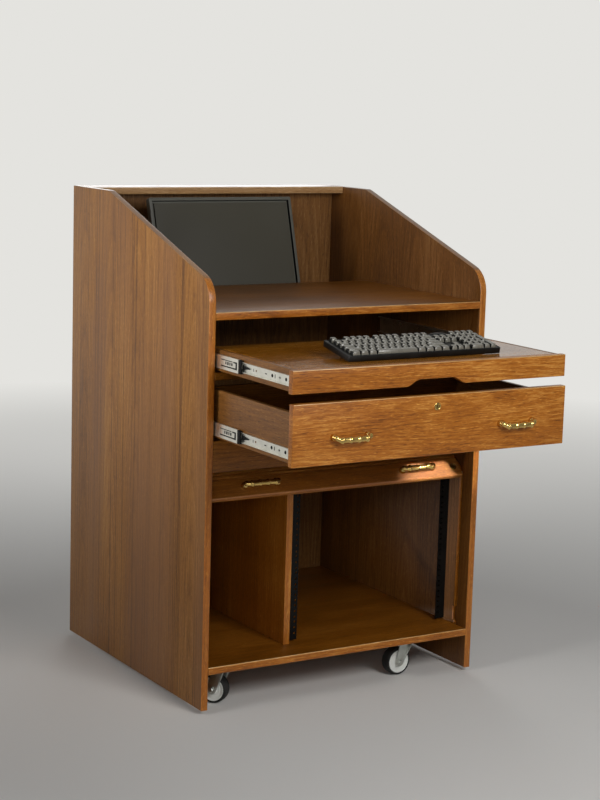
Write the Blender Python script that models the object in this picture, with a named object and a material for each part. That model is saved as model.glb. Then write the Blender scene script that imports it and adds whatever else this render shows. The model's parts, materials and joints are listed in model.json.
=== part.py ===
"""Multimedia lectern: an oak veneered cabinet on casters with a sloping-sided top, a monitor in a well
behind the desktop, a keyboard tray and a drawer on ball-bearing slides, and a tambour door over a rack bay.

Metres, +Z up. +X is the presenter's right, -Y is the presenter's side, the floor is z = 0.
Design frame: x = 0 on the middle of the cabinet, y = 0 on the front edges of the side panels."""
import math

import bmesh
import bpy
from mathutils import Matrix, Vector

# Cabinet
WIDTH = 0.840
DEPTH = 0.794
HEIGHT = 1.2856
BOARD = 0.019
FLOOR_GAP = 0.012
TOP_FLAT = 0.220
SLOPE = math.radians(18.2)
CORNER_RADIUS = 0.070
BROW_RADIUS = 0.030
ARC_STEPS = 10
EASE = 0.0012
FIT = 0.0003
CAP_DEPTH = 0.100
BACK_INSET = 0.023
DESK_DROP = 0.262
DESK_DEPTH = 0.552

# Fronts, from the desktop down
KEYBOARD_SPACE = 0.0723
TRAY_FRONT_HEIGHT = 0.0551
DRAWER_FRONT_HEIGHT = 0.1479
APRON_HEIGHT = 0.080
RAIL_DEPTH = 0.090
REVEAL = 0.0020
INSET = 0.0010
TRAY_OPEN = 0.3653
DRAWER_OPEN = 0.3711

# Keyboard tray
TRAY_DEPTH = 0.400
NOTCH_HEIGHT = 0.016
NOTCH_TOP = 0.096
NOTCH_BOTTOM = 0.176
NOTCH_SHIFT = 0.006
NOTCH_STEPS = 6

# Drawer box
BOX_BOARD = 0.0125
BOX_DEPTH = 0.420
BOX_TOP_DROP = 0.0227
BOX_BOTTOM_RISE = 0.0045
BOTTOM_BOARD = 0.006
BOTTOM_RISE = 0.007

# Ball-bearing slides: three nested channels of sheet steel
SLIDE_LENGTH = 0.450
SLIDE_MIDDLE_LENGTH = 0.360
SLIDE_MIDDLE_SETBACK = 0.0545
SLIDE_HEIGHT = 0.045
SLIDE_MIDDLE_HEIGHT = 0.034
SLIDE_INNER_HEIGHT = 0.025
SLIDE_SPACE = 0.0127
SLIDE_STEEL = 0.0012
SLIDE_OUTER_WIDTH = 0.0092
SLIDE_MIDDLE_WIDTH = 0.0066
SLIDE_INNER_WIDTH = 0.0062
SLIDE_RUN = 0.0004
SLIDE_STAND_OFF = 0.0018
BALL_ROW = 0.0022
BALL_ROW_LENGTH = 0.144
SLIDE_HOLE = 0.0030
SLIDE_HOLES = (0.026, 0.089, 0.164, 0.280, 0.400)
TRAY_SLIDE_RISE = 0.0287
DRAWER_SLIDE_RISE = 0.0290

# Pulls and locks
PULL_SPACING = 0.486
PULL_LENGTH = 0.1135
PULL_PROJECTION = 0.026
PULL_BAR = 0.0042
PULL_RISE = 0.060
DRAWER_PULL_SHIFT = 0.003
DOOR_PULL_SHIFT = 0.017
LOCK_RADIUS = 0.0060
LOCK_RUN = 0.0003
CAM_STEEL = 0.0020
CAM_WIDTH = 0.011
LOCK_DROP = 0.028
DRAWER_LOCK_SHIFT = 0.006
DRAWER_CAM = 0.036
DOOR_CAM = 0.025
DOOR_LOCK_INSET = 0.0215
STRIKE_DEPTH = 0.010
STRIKE_CLEAR = 0.0035
LOCK_PROUD = 0.0010
KEY_SLOT_WIDE = 0.0016
KEY_SLOT_TALL = 0.0070
KEY_SLOT_DEEP = 0.0040

# Lower cabinet
RACK_OPENING = 0.45085
RACK_RAIL_WIDTH = 0.029
RACK_RAIL_DEPTH = 0.032
RACK_STEEL = 0.0020
RACK_SETBACK = 0.1035
RACK_END_GAP = 0.006
RACK_UNIT = 0.04445
RACK_HOLE = 0.0034
RACK_HOLE_IN = 0.0071
RACK_HOLES = (0.00635, 0.022225, 0.0381)
DIVIDER_SETBACK = 0.0905
BAY_TOP_SETBACK = 0.105
BAY_TOP_CLEAR = 0.003

# Tambour door: a lead bar on a guide rod, and a curtain of slats in a routed track
TRACK_SETBACK = 0.050
TRACK_WIDTH = 0.013
TRACK_DEPTH = 0.009
TRACK_BEND = 0.050
TRACK_BELOW_APRON = 0.040
TRACK_BACK = 0.640
LEAD_BAR_HEIGHT = 0.057
LEAD_BAR_THICK = 0.013
LEAD_BAR_FRONT = 0.0055
LEAD_BAR_END_GAP = 0.0015
ROD_RISE = 0.010
ROD_RADIUS = 0.0030
ROLLER_RADIUS = 0.0035
ROD_RUN = 0.0003
ROD_END_GAP = 0.0005
SLAT_PITCH = 0.012
SLAT_THICK = 0.008
SLAT_BACKING = 0.0025
SLAT_GAP = 0.0012
SLAT_CROWN = 0.0012
SLAT_SHOULDER = 0.62
SLAT_COUNT = 38
SLAT_END_GAP = 0.0010
SLAT_CLEAR = 0.0095

# Monitor and its tilting bracket
MONITOR_WIDTH = 0.453
MONITOR_HEIGHT = 0.300
MONITOR_RIM = 0.020
MONITOR_BULGE = 0.022
MONITOR_SHOULDER = 0.040
MONITOR_BEZEL = 0.015
MONITOR_RECESS = 0.0025
SCREEN_THICK = 0.006
MONITOR_RADIUS = 0.006
MONITOR_X = -0.0416
MONITOR_TILT = math.radians(16.2)
MONITOR_SHOWN = 0.248
MONITOR_DESK_GAP = 0.013
MONITOR_HINGE_BACK = 0.068
VESA_PLATE = 0.110
VESA_STEEL = 0.003
ARM_PLATE = 0.120
PIN_RADIUS = 0.004
KNUCKLE_RADIUS = 0.009
KNUCKLE_WIDTH = 0.036
EAR_THICK = 0.006
EAR_ROOT = 0.006
PIN_END = 0.002
PIN_RUN = 0.0003

# Keyboard, with its keys in rows from the front and their widths in key pitches
KEYBOARD_WIDTH = 0.450
KEYBOARD_DEPTH = 0.122
KEYBOARD_THICK = 0.0155
KEYBOARD_TILT = math.radians(11.0)
KEYBOARD_X = 0.023
KEYBOARD_SETBACK = 0.0713
KEYBOARD_EASE = 0.002
FOOT_WIDTH = 0.024
FOOT_THICK = 0.005
FOOT_SETBACK = 0.010
FOOT_SPACING = 0.330
KEY_PITCH = 0.0190
KEY_SIZE = 0.0170
KEY_TALL = 0.0085
KEY_BED = 0.0018
KEY_DRAW = 0.0024
KEY_BED_EDGE = 0.0008
KEY_ROWS = (
    (1.25, 1.25, 1.25, 6.25, 1.25, 1.25, 1.25, 1.25),
    (2.25, *[1] * 10, 2.75),
    (1.75, *[1] * 11, 2.25),
    (1.5, *[1] * 12, 1.5),
    (*[1] * 13, 2),
)
FUNCTION_ROW = 5.15
FUNCTION_KEYS = (0, 2, 3, 4, 5, 6.5, 7.5, 8.5, 9.5, 11, 12, 13, 14, 18.5, 19.5, 20.5, 21.5)
EDIT_COLUMN = 15.25
PAD_COLUMN = 18.5
KEY_COLUMNS = 22.5

# Casters: each one's side, its stem's distance in from that side panel, its stem's distance in from the
# front edges or the back panel, and the compass heading in which its wheel trails
CASTER_HEIGHT = 0.1033
WHEEL_RADIUS = 0.038
WHEEL_WIDTH = 0.032
WHEEL_HUB = 0.0325
WHEEL_DISH = 0.0035
WHEEL_BOSS = 0.012
TREAD_ROUND = 0.004
CASTER_TRAIL = 0.018
FORK_STEEL = 0.0025
FORK_CLEAR = 0.0015
FORK_FOOT = 0.0125
FORK_LENGTH = 0.050
FORK_CORNER = 0.007
FORK_FLANGE = 0.009
PLATE_SIZE = 0.062
PLATE_CORNER = 0.008
PLATE_STEEL = 0.0030
RACE_RADIUS = 0.024
RACE_HEIGHT = 0.0060
AXLE_RADIUS = 0.005
AXLE_END = 0.002
AXLE_RUN = 0.0003
SWIVEL_RUN = 0.0004
CASTERS = {
    "front_left": (-1, 0.0757, "front", 0.0685, math.radians(126.5)),
    "front_right": (1, 0.1610, "front", 0.0727, math.radians(181.5)),
    "rear_left": (-1, 0.0793, "back", 0.0630, math.radians(70)),
    "rear_right": (1, 0.0793, "back", 0.0630, math.radians(110)),
}

# Places that follow from the sizes
inner = WIDTH / 2 - BOARD
front_half = inner - REVEAL
cheek = inner - SLIDE_SPACE
shelf_top = CASTER_HEIGHT + BOARD
back_face = DEPTH - BACK_INSET - BOARD
desk_level = HEIGHT - DESK_DROP
tray_top = desk_level - BOARD - KEYBOARD_SPACE
tray_bottom = tray_top - TRAY_FRONT_HEIGHT
rail_top = tray_bottom - REVEAL
drawer_top = rail_top - BOARD - REVEAL
drawer_bottom = drawer_top - DRAWER_FRONT_HEIGHT
apron_top = drawer_bottom - REVEAL
apron_bottom = apron_top - APRON_HEIGHT
divider_right = inner - RACK_OPENING - 2 * (RACK_RAIL_WIDTH + FIT)

track_run = apron_bottom - TRACK_BELOW_APRON
bend_centre = Vector((0, TRACK_SETBACK + TRACK_BEND, track_run - TRACK_BEND))
bay_top_top = track_run - TRACK_WIDTH / 2 - BAY_TOP_CLEAR

# The open lead bar lies as a chord across the middle of the bend, with its rod and its top edge on the track
bar_chord = LEAD_BAR_HEIGHT - ROD_RISE
bar_half_turn = math.asin(bar_chord / (2 * TRACK_BEND))
rod_turn = math.pi / 4 - bar_half_turn
rod_y = bend_centre.y - TRACK_BEND * math.cos(rod_turn)
rod_z = bend_centre.z + TRACK_BEND * math.sin(rod_turn)
door_drop = rod_z - (shelf_top + INSET + ROD_RISE)

# The whole object, its drawer pulled out, is centred on the origin
centre_y = (DEPTH - DRAWER_OPEN - PULL_PROJECTION) / 2

for old in list(bpy.data.objects):
    bpy.data.objects.remove(old, do_unlink=True)


def finish(name, colour, roughness, metallic=0.0):
    """A plain shader with the colour of one real finish."""
    shader = bpy.data.materials.new(name)
    shader.use_nodes = True
    inputs = shader.node_tree.nodes["Principled BSDF"].inputs
    inputs["Base Color"].default_value = (*colour, 1.0)
    inputs["Roughness"].default_value = roughness
    inputs["Metallic"].default_value = metallic
    shader.diffuse_color = (*colour, 1.0)
    return shader


OAK = finish("oak_veneer", (0.42, 0.22, 0.085), 0.42)
OAK_SOLID = finish("oak_solid", (0.46, 0.25, 0.10), 0.42)
BRASS = finish("polished_brass", (0.78, 0.55, 0.22), 0.22, 1.0)
ZINC = finish("zinc_plate", (0.62, 0.63, 0.64), 0.34, 1.0)
BLACK_STEEL = finish("black_powder_coat", (0.015, 0.015, 0.017), 0.5)
BLACK_PLASTIC = finish("black_plastic", (0.012, 0.012, 0.013), 0.42)
SCREEN = finish("screen_film", (0.03, 0.031, 0.033), 0.28)
WHEEL = finish("grey_wheel", (0.45, 0.46, 0.46), 0.5)


def empty(name, location, parent=None, rotation=(0, 0, 0)):
    """A frame for pieces that move or belong together."""
    frame = bpy.data.objects.new(name, None)
    frame.location = location
    frame.rotation_euler = rotation
    frame.parent = parent
    frame.empty_display_size = 0.05
    bpy.context.scene.collection.objects.link(frame)
    return frame


def piece(name, data, shader, parent, location=(0, 0, 0), rotation=(0, 0, 0)):
    """One solid as a named object. Data is a mesh, a curve or a bmesh, which is used up."""
    if isinstance(data, bmesh.types.BMesh):
        mesh = bpy.data.meshes.new(name)
        bmesh.ops.recalc_face_normals(data, faces=data.faces)
        data.to_mesh(mesh)
        data.free()
        data = mesh
    body = bpy.data.objects.new(name, data)
    if not data.materials:
        data.materials.append(shader)
    body.location = location
    body.rotation_euler = rotation
    body.parent = parent
    bpy.context.scene.collection.objects.link(body)
    return body


def tool(name, data, parent, location=(0, 0, 0), rotation=(0, 0, 0)):
    """A shape that only cuts or joins another one."""
    shape = piece(name, data, OAK, parent, location, rotation)
    shape.hide_render = True
    shape.display_type = "WIRE"
    return shape


def combine(body, shape, operation):
    """A Boolean of body with a tool, kept live on the body."""
    step = body.modifiers.new(shape.name, "BOOLEAN")
    step.operation = operation
    step.object = shape
    step.solver = "EXACT"
    return body


def add_box(bm, low, high):
    """A box between two corners, added to a bmesh."""
    low, high = Vector(low), Vector(high)
    place = Matrix.Translation((low + high) / 2) @ Matrix.Diagonal((*(high - low), 1.0))
    return bmesh.ops.create_cube(bm, size=1.0, matrix=place)["verts"]


def box(low, high, ease=0.0):
    """A box between two corners as a bmesh, with its edges eased."""
    bm = bmesh.new()
    add_box(bm, low, high)
    if ease:
        bmesh.ops.bevel(
            bm, geom=bm.edges[:], offset=ease, segments=1, profile=0.5, affect="EDGES", material=-1
        )
    return bm


def board(name, low, high, parent, shader=OAK, ease=EASE):
    """An eased board between two corners of the parent's frame, with its origin in its middle."""
    low, high = Vector(low), Vector(high)
    middle = (low + high) / 2
    return piece(name, box(low - middle, high - middle, ease), shader, parent, middle)


def prism(outline, start, end, axis="X"):
    """A closed outline, pulled along an axis from start to end. Its points are in the other two axes."""
    turn = {
        "X": lambda a, b, along: (along, a, b),
        "Y": lambda a, b, along: (a, along, b),
        "Z": lambda a, b, along: (a, b, along),
    }[axis]
    bm = bmesh.new()
    base = bm.faces.new([bm.verts.new(turn(a, b, start)) for a, b in outline])
    top = bmesh.ops.extrude_face_region(bm, geom=[base])["geom"]
    moved = [v for v in top if isinstance(v, bmesh.types.BMVert)]
    bmesh.ops.translate(bm, verts=moved, vec=turn(0, 0, end - start))
    return bm


def add_rod(bm, radius, start, end, axis, at, sides=16, tip=None):
    """A round bar, or a cone to radius tip, along an axis through the point at, added to a bmesh."""
    turn = {
        "X": Matrix.Rotation(math.pi / 2, 4, "Y"),
        "Y": Matrix.Rotation(-math.pi / 2, 4, "X"),
        "Z": Matrix.Identity(4),
    }[axis]
    along = {"X": Vector((1, 0, 0)), "Y": Vector((0, 1, 0)), "Z": Vector((0, 0, 1))}[axis]
    place = Matrix.Translation(Vector(at) + along * (start + end) / 2) @ turn
    bmesh.ops.create_cone(
        bm,
        cap_ends=True,
        segments=sides,
        radius1=radius,
        radius2=radius if tip is None else tip,
        depth=abs(end - start),
        matrix=place,
    )


def rod(radius, start, end, axis, at=(0, 0, 0), sides=16, tip=None):
    """A round bar as a bmesh of its own."""
    bm = bmesh.new()
    add_rod(bm, radius, start, end, axis, at, sides, tip)
    return bm


def arc(centre, radius, start, end, steps):
    """Points on a circle from the start angle to the end angle, both included."""
    return [
        (
            centre[0] + radius * math.cos(start + (end - start) * k / steps),
            centre[1] + radius * math.sin(start + (end - start) * k / steps),
        )
        for k in range(steps + 1)
    ]


def rounded(width, height, radius, steps=4):
    """The outline of a rectangle with round corners, centred on zero."""
    corners = []
    for k, (sx, sy) in enumerate(((1, 1), (-1, 1), (-1, -1), (1, -1))):
        centre = (sx * (width / 2 - radius), sy * (height / 2 - radius))
        corners += arc(centre, radius, k * math.pi / 2, (k + 1) * math.pi / 2, steps)
    return corners


def loft(rings):
    """A closed skin through rings of equal counts of points, with a flat cap on each end."""
    bm = bmesh.new()
    loops = [[bm.verts.new(point) for point in ring] for ring in rings]
    for near, far in zip(loops, loops[1:]):
        for k, point in enumerate(near):
            after = (k + 1) % len(near)
            bm.faces.new((point, near[after], far[after], far[k]))
    bm.faces.new(loops[0][::-1])
    bm.faces.new(loops[-1])
    return bm


def smooth(body, angle=35):
    """Round faces shaded smooth, with real corners kept sharp."""
    body.data.shade_smooth()
    body.data.set_sharp_from_angle(angle=math.radians(angle))
    return body


lectern = empty("lectern", (0, -centre_y, 0))
tray = empty("keyboard_tray_frame", (0, -TRAY_OPEN, tray_top), lectern)
drawer = empty("drawer_frame", (0, -DRAWER_OPEN, drawer_bottom), lectern)


def side_outline():
    """The side panel's edge, in Y and Z: a flat top, a slope and a large round corner at the front."""
    slope_start = DEPTH - TOP_FLAT
    knee = HEIGHT - slope_start * math.tan(SLOPE)
    turn = math.pi / 2 - SLOPE
    reach = CORNER_RADIUS * math.tan(turn / 2)
    nose = (CORNER_RADIUS, knee - reach)
    brow = (slope_start + BROW_RADIUS * math.tan(SLOPE / 2), HEIGHT - BROW_RADIUS)
    outline = [(0, FLOOR_GAP), (DEPTH, FLOOR_GAP), (DEPTH, HEIGHT)]
    outline += arc(brow, BROW_RADIUS, math.pi / 2, math.pi / 2 + SLOPE, 3)
    outline += arc(nose, CORNER_RADIUS, math.pi / 2 + SLOPE, math.pi, ARC_STEPS)
    return outline


def track_outline():
    """The routed track, in Y and Z: up behind the front edge, round the bend, and back under the drawer."""
    half = TRACK_WIDTH / 2
    centre = (bend_centre.y, bend_centre.z)
    outer = arc(centre, TRACK_BEND + half, math.pi, math.pi / 2, ARC_STEPS)
    inside = arc(centre, TRACK_BEND - half, math.pi / 2, math.pi, ARC_STEPS)
    run = [(TRACK_BACK, track_run + half), (TRACK_BACK, track_run - half)]
    foot = [(TRACK_SETBACK + half, shelf_top + INSET), (TRACK_SETBACK - half, shelf_top + INSET)]
    return outer + run + inside + foot


def side_panel(name, side):
    """A full-height side with the tambour track routed in its inner face. Side is -1 or 1."""
    low, high = sorted((side * inner, side * WIDTH / 2))
    panel = piece(name, prism(side_outline(), low, high), OAK, lectern)
    near, far = sorted((side * (inner - TRACK_DEPTH), side * (inner + TRACK_DEPTH)))
    track = tool(name + "_track", prism(track_outline(), near, far), lectern)
    return combine(panel, track, "DIFFERENCE")


def cam_reach():
    """How far behind the rod the door lock's cam stands when the door is shut, as a front and a back face."""
    back = rod_y + LEAD_BAR_THICK - LEAD_BAR_FRONT
    return back + LOCK_RUN, back + LOCK_RUN + CAM_STEEL


def strike_slot(panel):
    """The slot low in the right side that takes the shut door's cam."""
    front, back = cam_reach()
    lock_z = shelf_top + INSET + LEAD_BAR_HEIGHT / 2
    half = DOOR_CAM - CAM_WIDTH / 2
    low = (inner - STRIKE_DEPTH, front - STRIKE_CLEAR, lock_z - half)
    high = (inner + STRIKE_DEPTH, back + STRIKE_CLEAR, lock_z + half)
    return combine(panel, tool("strike_slot", box(low, high), lectern), "DIFFERENCE")


def carcass():
    """The fixed boards of the cabinet."""
    side_panel("left_side_panel", -1)
    strike_slot(side_panel("right_side_panel", 1))
    edge = inner - FIT
    board("top_cap", (-edge, DEPTH - CAP_DEPTH, HEIGHT - BOARD), (edge, DEPTH, HEIGHT), lectern)
    board(
        "back_panel",
        (-edge, back_face, CASTER_HEIGHT),
        (edge, back_face + BOARD, HEIGHT - BOARD - FIT),
        lectern,
    )
    board("desktop", (-edge, 0, desk_level - BOARD), (edge, DESK_DEPTH, desk_level), lectern)
    board("bottom_shelf", (-edge, 0, CASTER_HEIGHT), (edge, back_face - FIT, shelf_top), lectern)
    board("apron_rail", (-edge, 0, apron_bottom), (edge, BOARD, apron_top), lectern)
    rail = board("tray_rail", (-edge, 0, rail_top - BOARD), (edge, RAIL_DEPTH, rail_top), lectern)
    cam_y = INSET + BOARD + LOCK_RUN + CAM_STEEL / 2
    pocket = box(
        (DRAWER_LOCK_SHIFT - CAM_WIDTH, cam_y - 2 * CAM_STEEL, rail_top - BOARD - STRIKE_DEPTH),
        (DRAWER_LOCK_SHIFT + CAM_WIDTH, cam_y + 2 * CAM_STEEL, rail_top - BOARD + STRIKE_DEPTH),
    )
    strike = tool("drawer_strike", pocket, rail, Vector((0, 0, 0)) - rail.location)
    combine(rail, strike, "DIFFERENCE")
    bay_low = bay_top_top - BOARD
    board("bay_top", (-edge, BAY_TOP_SETBACK, bay_low), (edge, back_face - FIT, bay_top_top), lectern)
    board(
        "bay_divider",
        (divider_right - BOARD, DIVIDER_SETBACK, shelf_top + FIT),
        (divider_right, back_face - FIT, bay_low - FIT),
        lectern,
    )


def rack_rail(name, side, wall):
    """A steel angle with three tapped holes for each rack unit. Side is where its wall lies, -1 or 1."""
    low = shelf_top + RACK_END_GAP
    high = bay_top_top - BOARD - RACK_END_GAP
    w, d, s = RACK_RAIL_WIDTH, RACK_RAIL_DEPTH, RACK_STEEL
    outline = [(0, 0), (-side * w, 0), (-side * w, s), (-side * s, s), (-side * s, d), (0, d)]
    place = (wall - side * FIT, RACK_SETBACK, low)
    rail = piece(name, prism(outline, 0, high - low, "Z"), BLACK_STEEL, lectern, place)
    units = int((high - low) / RACK_UNIT)
    start = (high - low - units * RACK_UNIT) / 2
    holes = bmesh.new()
    for unit in range(units):
        for offset in RACK_HOLES:
            at = (-side * (w - RACK_HOLE_IN), 0, start + unit * RACK_UNIT + offset)
            add_rod(holes, RACK_HOLE, -s, 2 * s, "Y", at, sides=6)
    return combine(rail, tool(name + "_holes", holes, lectern, place), "DIFFERENCE")


def channel(width, height, steel, lip):
    """A sheet-steel channel in X and Z, open towards +X, with its flanges' lips turned in."""
    h = height / 2
    upper = [
        (0, h),
        (width, h),
        (width, h - lip),
        (width - steel, h - lip),
        (width - steel, h - steel),
        (steel, h - steel),
    ]
    lower = [(x, -z) for x, z in reversed(upper)]
    return upper + lower


def slide_member(name, outline, side, y0, length, parent, x, z):
    """A channel of a slide along Y. Side -1 mirrors it for the left of the cabinet."""
    turned = [(-side * a, b) for a, b in outline]
    return piece(name, prism(turned, y0, y0 + length, "Y"), ZINC, parent, (x, 0, z))


def slide(prefix, side, moving, opened, level, middle_frame):
    """One telescopic slide: a member on the cabinet, a middle one that runs half as far, and an inner one."""
    label = "left" if side < 0 else "right"
    wall = side * (inner - FIT)
    start = INSET + BOARD + 2 * FIT
    outer = channel(SLIDE_OUTER_WIDTH, SLIDE_HEIGHT, SLIDE_STEEL, 2 * SLIDE_STEEL)
    slide_member(f"{prefix}_slide_outer_{label}", outer, side, start, SLIDE_LENGTH, lectern, wall, level)

    # The middle channel's ball rows: outside at the back, in the outer channel, and inside at the front
    middle = channel(SLIDE_MIDDLE_WIDTH, SLIDE_MIDDLE_HEIGHT, SLIDE_STEEL, SLIDE_STEEL)
    middle_x = wall - side * (SLIDE_STEEL + SLIDE_RUN + SLIDE_STAND_OFF)
    middle_start = start + SLIDE_MIDDLE_SETBACK - (opened + INSET) / 2
    body = slide_member(
        f"{prefix}_slide_middle_{label}",
        middle,
        side,
        middle_start,
        SLIDE_MIDDLE_LENGTH,
        middle_frame,
        middle_x,
        level,
    )
    body.location -= middle_frame.location
    balls = bmesh.new()
    row_half = BALL_ROW / 2
    row_x = -side * SLIDE_MIDDLE_WIDTH / 2
    back_row = middle_start + SLIDE_MIDDLE_LENGTH - BALL_ROW_LENGTH - SLIDE_STEEL
    front_row = middle_start + SLIDE_STEEL
    for sign in (-1, 1):
        out = sorted((sign * (SLIDE_MIDDLE_HEIGHT / 2 - SLIDE_STEEL / 2), sign * outer_race()))
        low = (row_x - row_half, back_row, out[0])
        add_box(balls, low, (row_x + row_half, back_row + BALL_ROW_LENGTH, out[1]))
        into = sorted((sign * (SLIDE_MIDDLE_HEIGHT / 2 - SLIDE_STEEL / 2), sign * inner_race()))
        low = (row_x - row_half, front_row, into[0])
        add_box(balls, low, (row_x + row_half, front_row + BALL_ROW_LENGTH, into[1]))
    rows = tool(body.name + "_balls", balls, middle_frame, body.location)
    combine(body, rows, "UNION")

    inside = [(-a, b) for a, b in channel(SLIDE_INNER_WIDTH, SLIDE_INNER_HEIGHT, SLIDE_STEEL, SLIDE_STEEL)]
    inner_x = side * (cheek + FIT)
    body = slide_member(
        f"{prefix}_slide_inner_{label}", inside, side, BOARD + 2 * FIT, SLIDE_LENGTH, moving, inner_x, 0
    )
    body.location.z = level - moving.location.z
    holes = bmesh.new()
    for along in SLIDE_HOLES:
        at = (0, BOARD + 2 * FIT + along, 0)
        add_rod(holes, SLIDE_HOLE, -2 * SLIDE_STEEL, 2 * SLIDE_STEEL, "X", at, sides=8)
    cutter = tool(body.name + "_holes", holes, moving, body.location)
    combine(body, cutter, "DIFFERENCE")


def outer_race():
    """Half the height at which the outer ball rows run, just inside the outer channel's flanges."""
    return SLIDE_HEIGHT / 2 - SLIDE_STEEL - SLIDE_RUN


def inner_race():
    """Half the height at which the inner ball rows run, just outside the inner channel's flanges."""
    return SLIDE_INNER_HEIGHT / 2 + SLIDE_RUN


def keyboard_tray():
    """The tray: a top between two side rails behind a notched front. Its frame is at the front's top edge."""
    half = front_half
    low = -TRAY_FRONT_HEIGHT
    run = (NOTCH_BOTTOM - NOTCH_TOP) / 2
    shares = [k / NOTCH_STEPS for k in range(NOTCH_STEPS + 1)]
    shoulder = [(run * t - NOTCH_BOTTOM / 2, low + NOTCH_HEIGHT * t * t * (3 - 2 * t)) for t in shares]
    shoulder += [(-x, z) for x, z in reversed(shoulder)]
    outline = [(-half, low), *[(x + NOTCH_SHIFT, z) for x, z in shoulder], (half, low)]
    bm = prism(outline + [(half, 0), (-half, 0)], 0, BOARD, "Y")
    sharp = [edge for edge in bm.edges if edge.calc_face_angle(0) > 1]
    bmesh.ops.bevel(
        bm, geom=sharp, offset=EASE, segments=1, profile=0.5, affect="EDGES", material=-1
    )
    piece("tray_front", bm, OAK, tray)
    back = BOARD + FIT + TRAY_DEPTH
    between = cheek - BOX_BOARD - FIT
    board("tray_top", (-between, BOARD + FIT, -BOARD), (between, back, 0), tray)
    for label, side in (("left", -1), ("right", 1)):
        near, far = sorted((side * cheek, side * (cheek - BOX_BOARD)))
        board(f"tray_side_{label}", (near, BOARD + FIT, low + REVEAL), (far, back, 0), tray)


def drawer_box():
    """The drawer, from its front to its back. Its frame is at the front's bottom edge."""
    top = DRAWER_FRONT_HEIGHT
    front = board("drawer_front", (-front_half, 0, 0), (front_half, BOARD, top), drawer)
    lock = (DRAWER_LOCK_SHIFT, 0, top - LOCK_DROP)
    bore = rod(LOCK_RADIUS + LOCK_RUN, -BOARD, 2 * BOARD, "Y", lock, sides=20)
    keyhole = tool("drawer_lock_bore", bore, front, Vector((0, 0, 0)) - front.location)
    combine(front, keyhole, "DIFFERENCE")
    box_low = BOX_BOTTOM_RISE
    box_top = top - BOX_TOP_DROP
    start = BOARD + FIT
    back = start + BOX_DEPTH
    for label, side in (("left", -1), ("right", 1)):
        near, far = sorted((side * cheek, side * (cheek - BOX_BOARD)))
        board(f"drawer_side_{label}", (near, start, box_low), (far, back, box_top), drawer)
    between = cheek - BOX_BOARD - FIT
    board("drawer_back", (-between, back - BOX_BOARD, box_low), (between, back, box_top), drawer)
    floor = box_low + BOTTOM_RISE
    board(
        "drawer_bottom",
        (-between, start, floor),
        (between, back - BOX_BOARD - FIT, floor + BOTTOM_BOARD),
        drawer,
    )


def pull_curve():
    """A cast bow pull: two flared feet, a bow, a bead on each shoulder and a swell in the middle.

    It stands on z = 0 along X and bows towards +Z."""
    curve = bpy.data.curves.new("bow_pull", "CURVE")
    curve.dimensions = "3D"
    curve.bevel_depth = PULL_BAR
    curve.bevel_resolution = 2
    curve.use_fill_caps = True
    foot = PULL_LENGTH / 2 - 1.9 * PULL_BAR
    reach = PULL_PROJECTION - 1.35 * PULL_BAR
    stations = 28
    spline = curve.splines.new("POLY")
    spline.points.add(stations)
    for k, point in enumerate(spline.points):
        along = -1 + 2 * k / stations
        swing = math.pi / 2 * along
        x = foot * math.copysign(min(1.0, 1.01 * abs(math.sin(swing)) ** 0.9), swing)
        z = reach * math.cos(swing) ** 0.62 if abs(along) < 1 else 0.0
        flare = 0.9 * math.exp(-((1 - abs(along)) / 0.05) ** 2)
        bead = 0.42 * math.exp(-((abs(along) - 0.52) / 0.05) ** 2)
        swell = 0.35 * math.exp(-(along / 0.16) ** 2)
        point.co = (x, 0, z, 1)
        point.radius = 1 + flare + bead + swell
    return curve


def pulls():
    """Four matching pulls, two on the drawer's front and two on the door's lead bar."""
    curve = pull_curve()
    out = math.radians(90)
    for label, side in (("left", -1), ("right", 1)):
        place = (side * PULL_SPACING / 2 + DRAWER_PULL_SHIFT, -FIT, PULL_RISE)
        piece(f"drawer_pull_{label}", curve, BRASS, drawer, place, (out, 0, 0))
        x = side * PULL_SPACING / 2 + DOOR_PULL_SHIFT
        place = (x, -LEAD_BAR_FRONT - FIT, LEAD_BAR_HEIGHT / 2 - ROD_RISE)
        piece(f"door_pull_{label}", curve, BRASS, door_bar, place, (out, 0, 0))


def cam_lock(name, frame, through, cam, point):
    """A turning lock plug with a key slot and a cam behind. Its axis is the frame's Y, out through -Y.

    Through is the board's thickness and point is the cam's way at rest, in X and Z."""
    plug = piece(name, rod(LOCK_RADIUS, -LOCK_PROUD, through + LOCK_RUN, "Y", sides=20), BRASS, frame)
    wide, tall = KEY_SLOT_WIDE / 2, KEY_SLOT_TALL / 2
    key = box((-wide, -2 * LOCK_PROUD, -tall), (wide, KEY_SLOT_DEEP, tall))
    combine(plug, tool(name + "_key_slot", key, frame), "DIFFERENCE")
    half = CAM_WIDTH / 2
    turn = math.atan2(point[1], point[0])
    outline = arc((0, 0), half, math.pi / 2, 3 * math.pi / 2, 6)
    outline += arc((cam - half, 0), half, -math.pi / 2, math.pi / 2, 6)
    blade = prism(outline, through + LOCK_RUN - CAM_STEEL / 8, through + LOCK_RUN + CAM_STEEL, "Y")
    arm = tool(name + "_cam", blade, frame, (0, 0, 0), (0, -turn, 0))
    return combine(plug, arm, "UNION")


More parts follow.
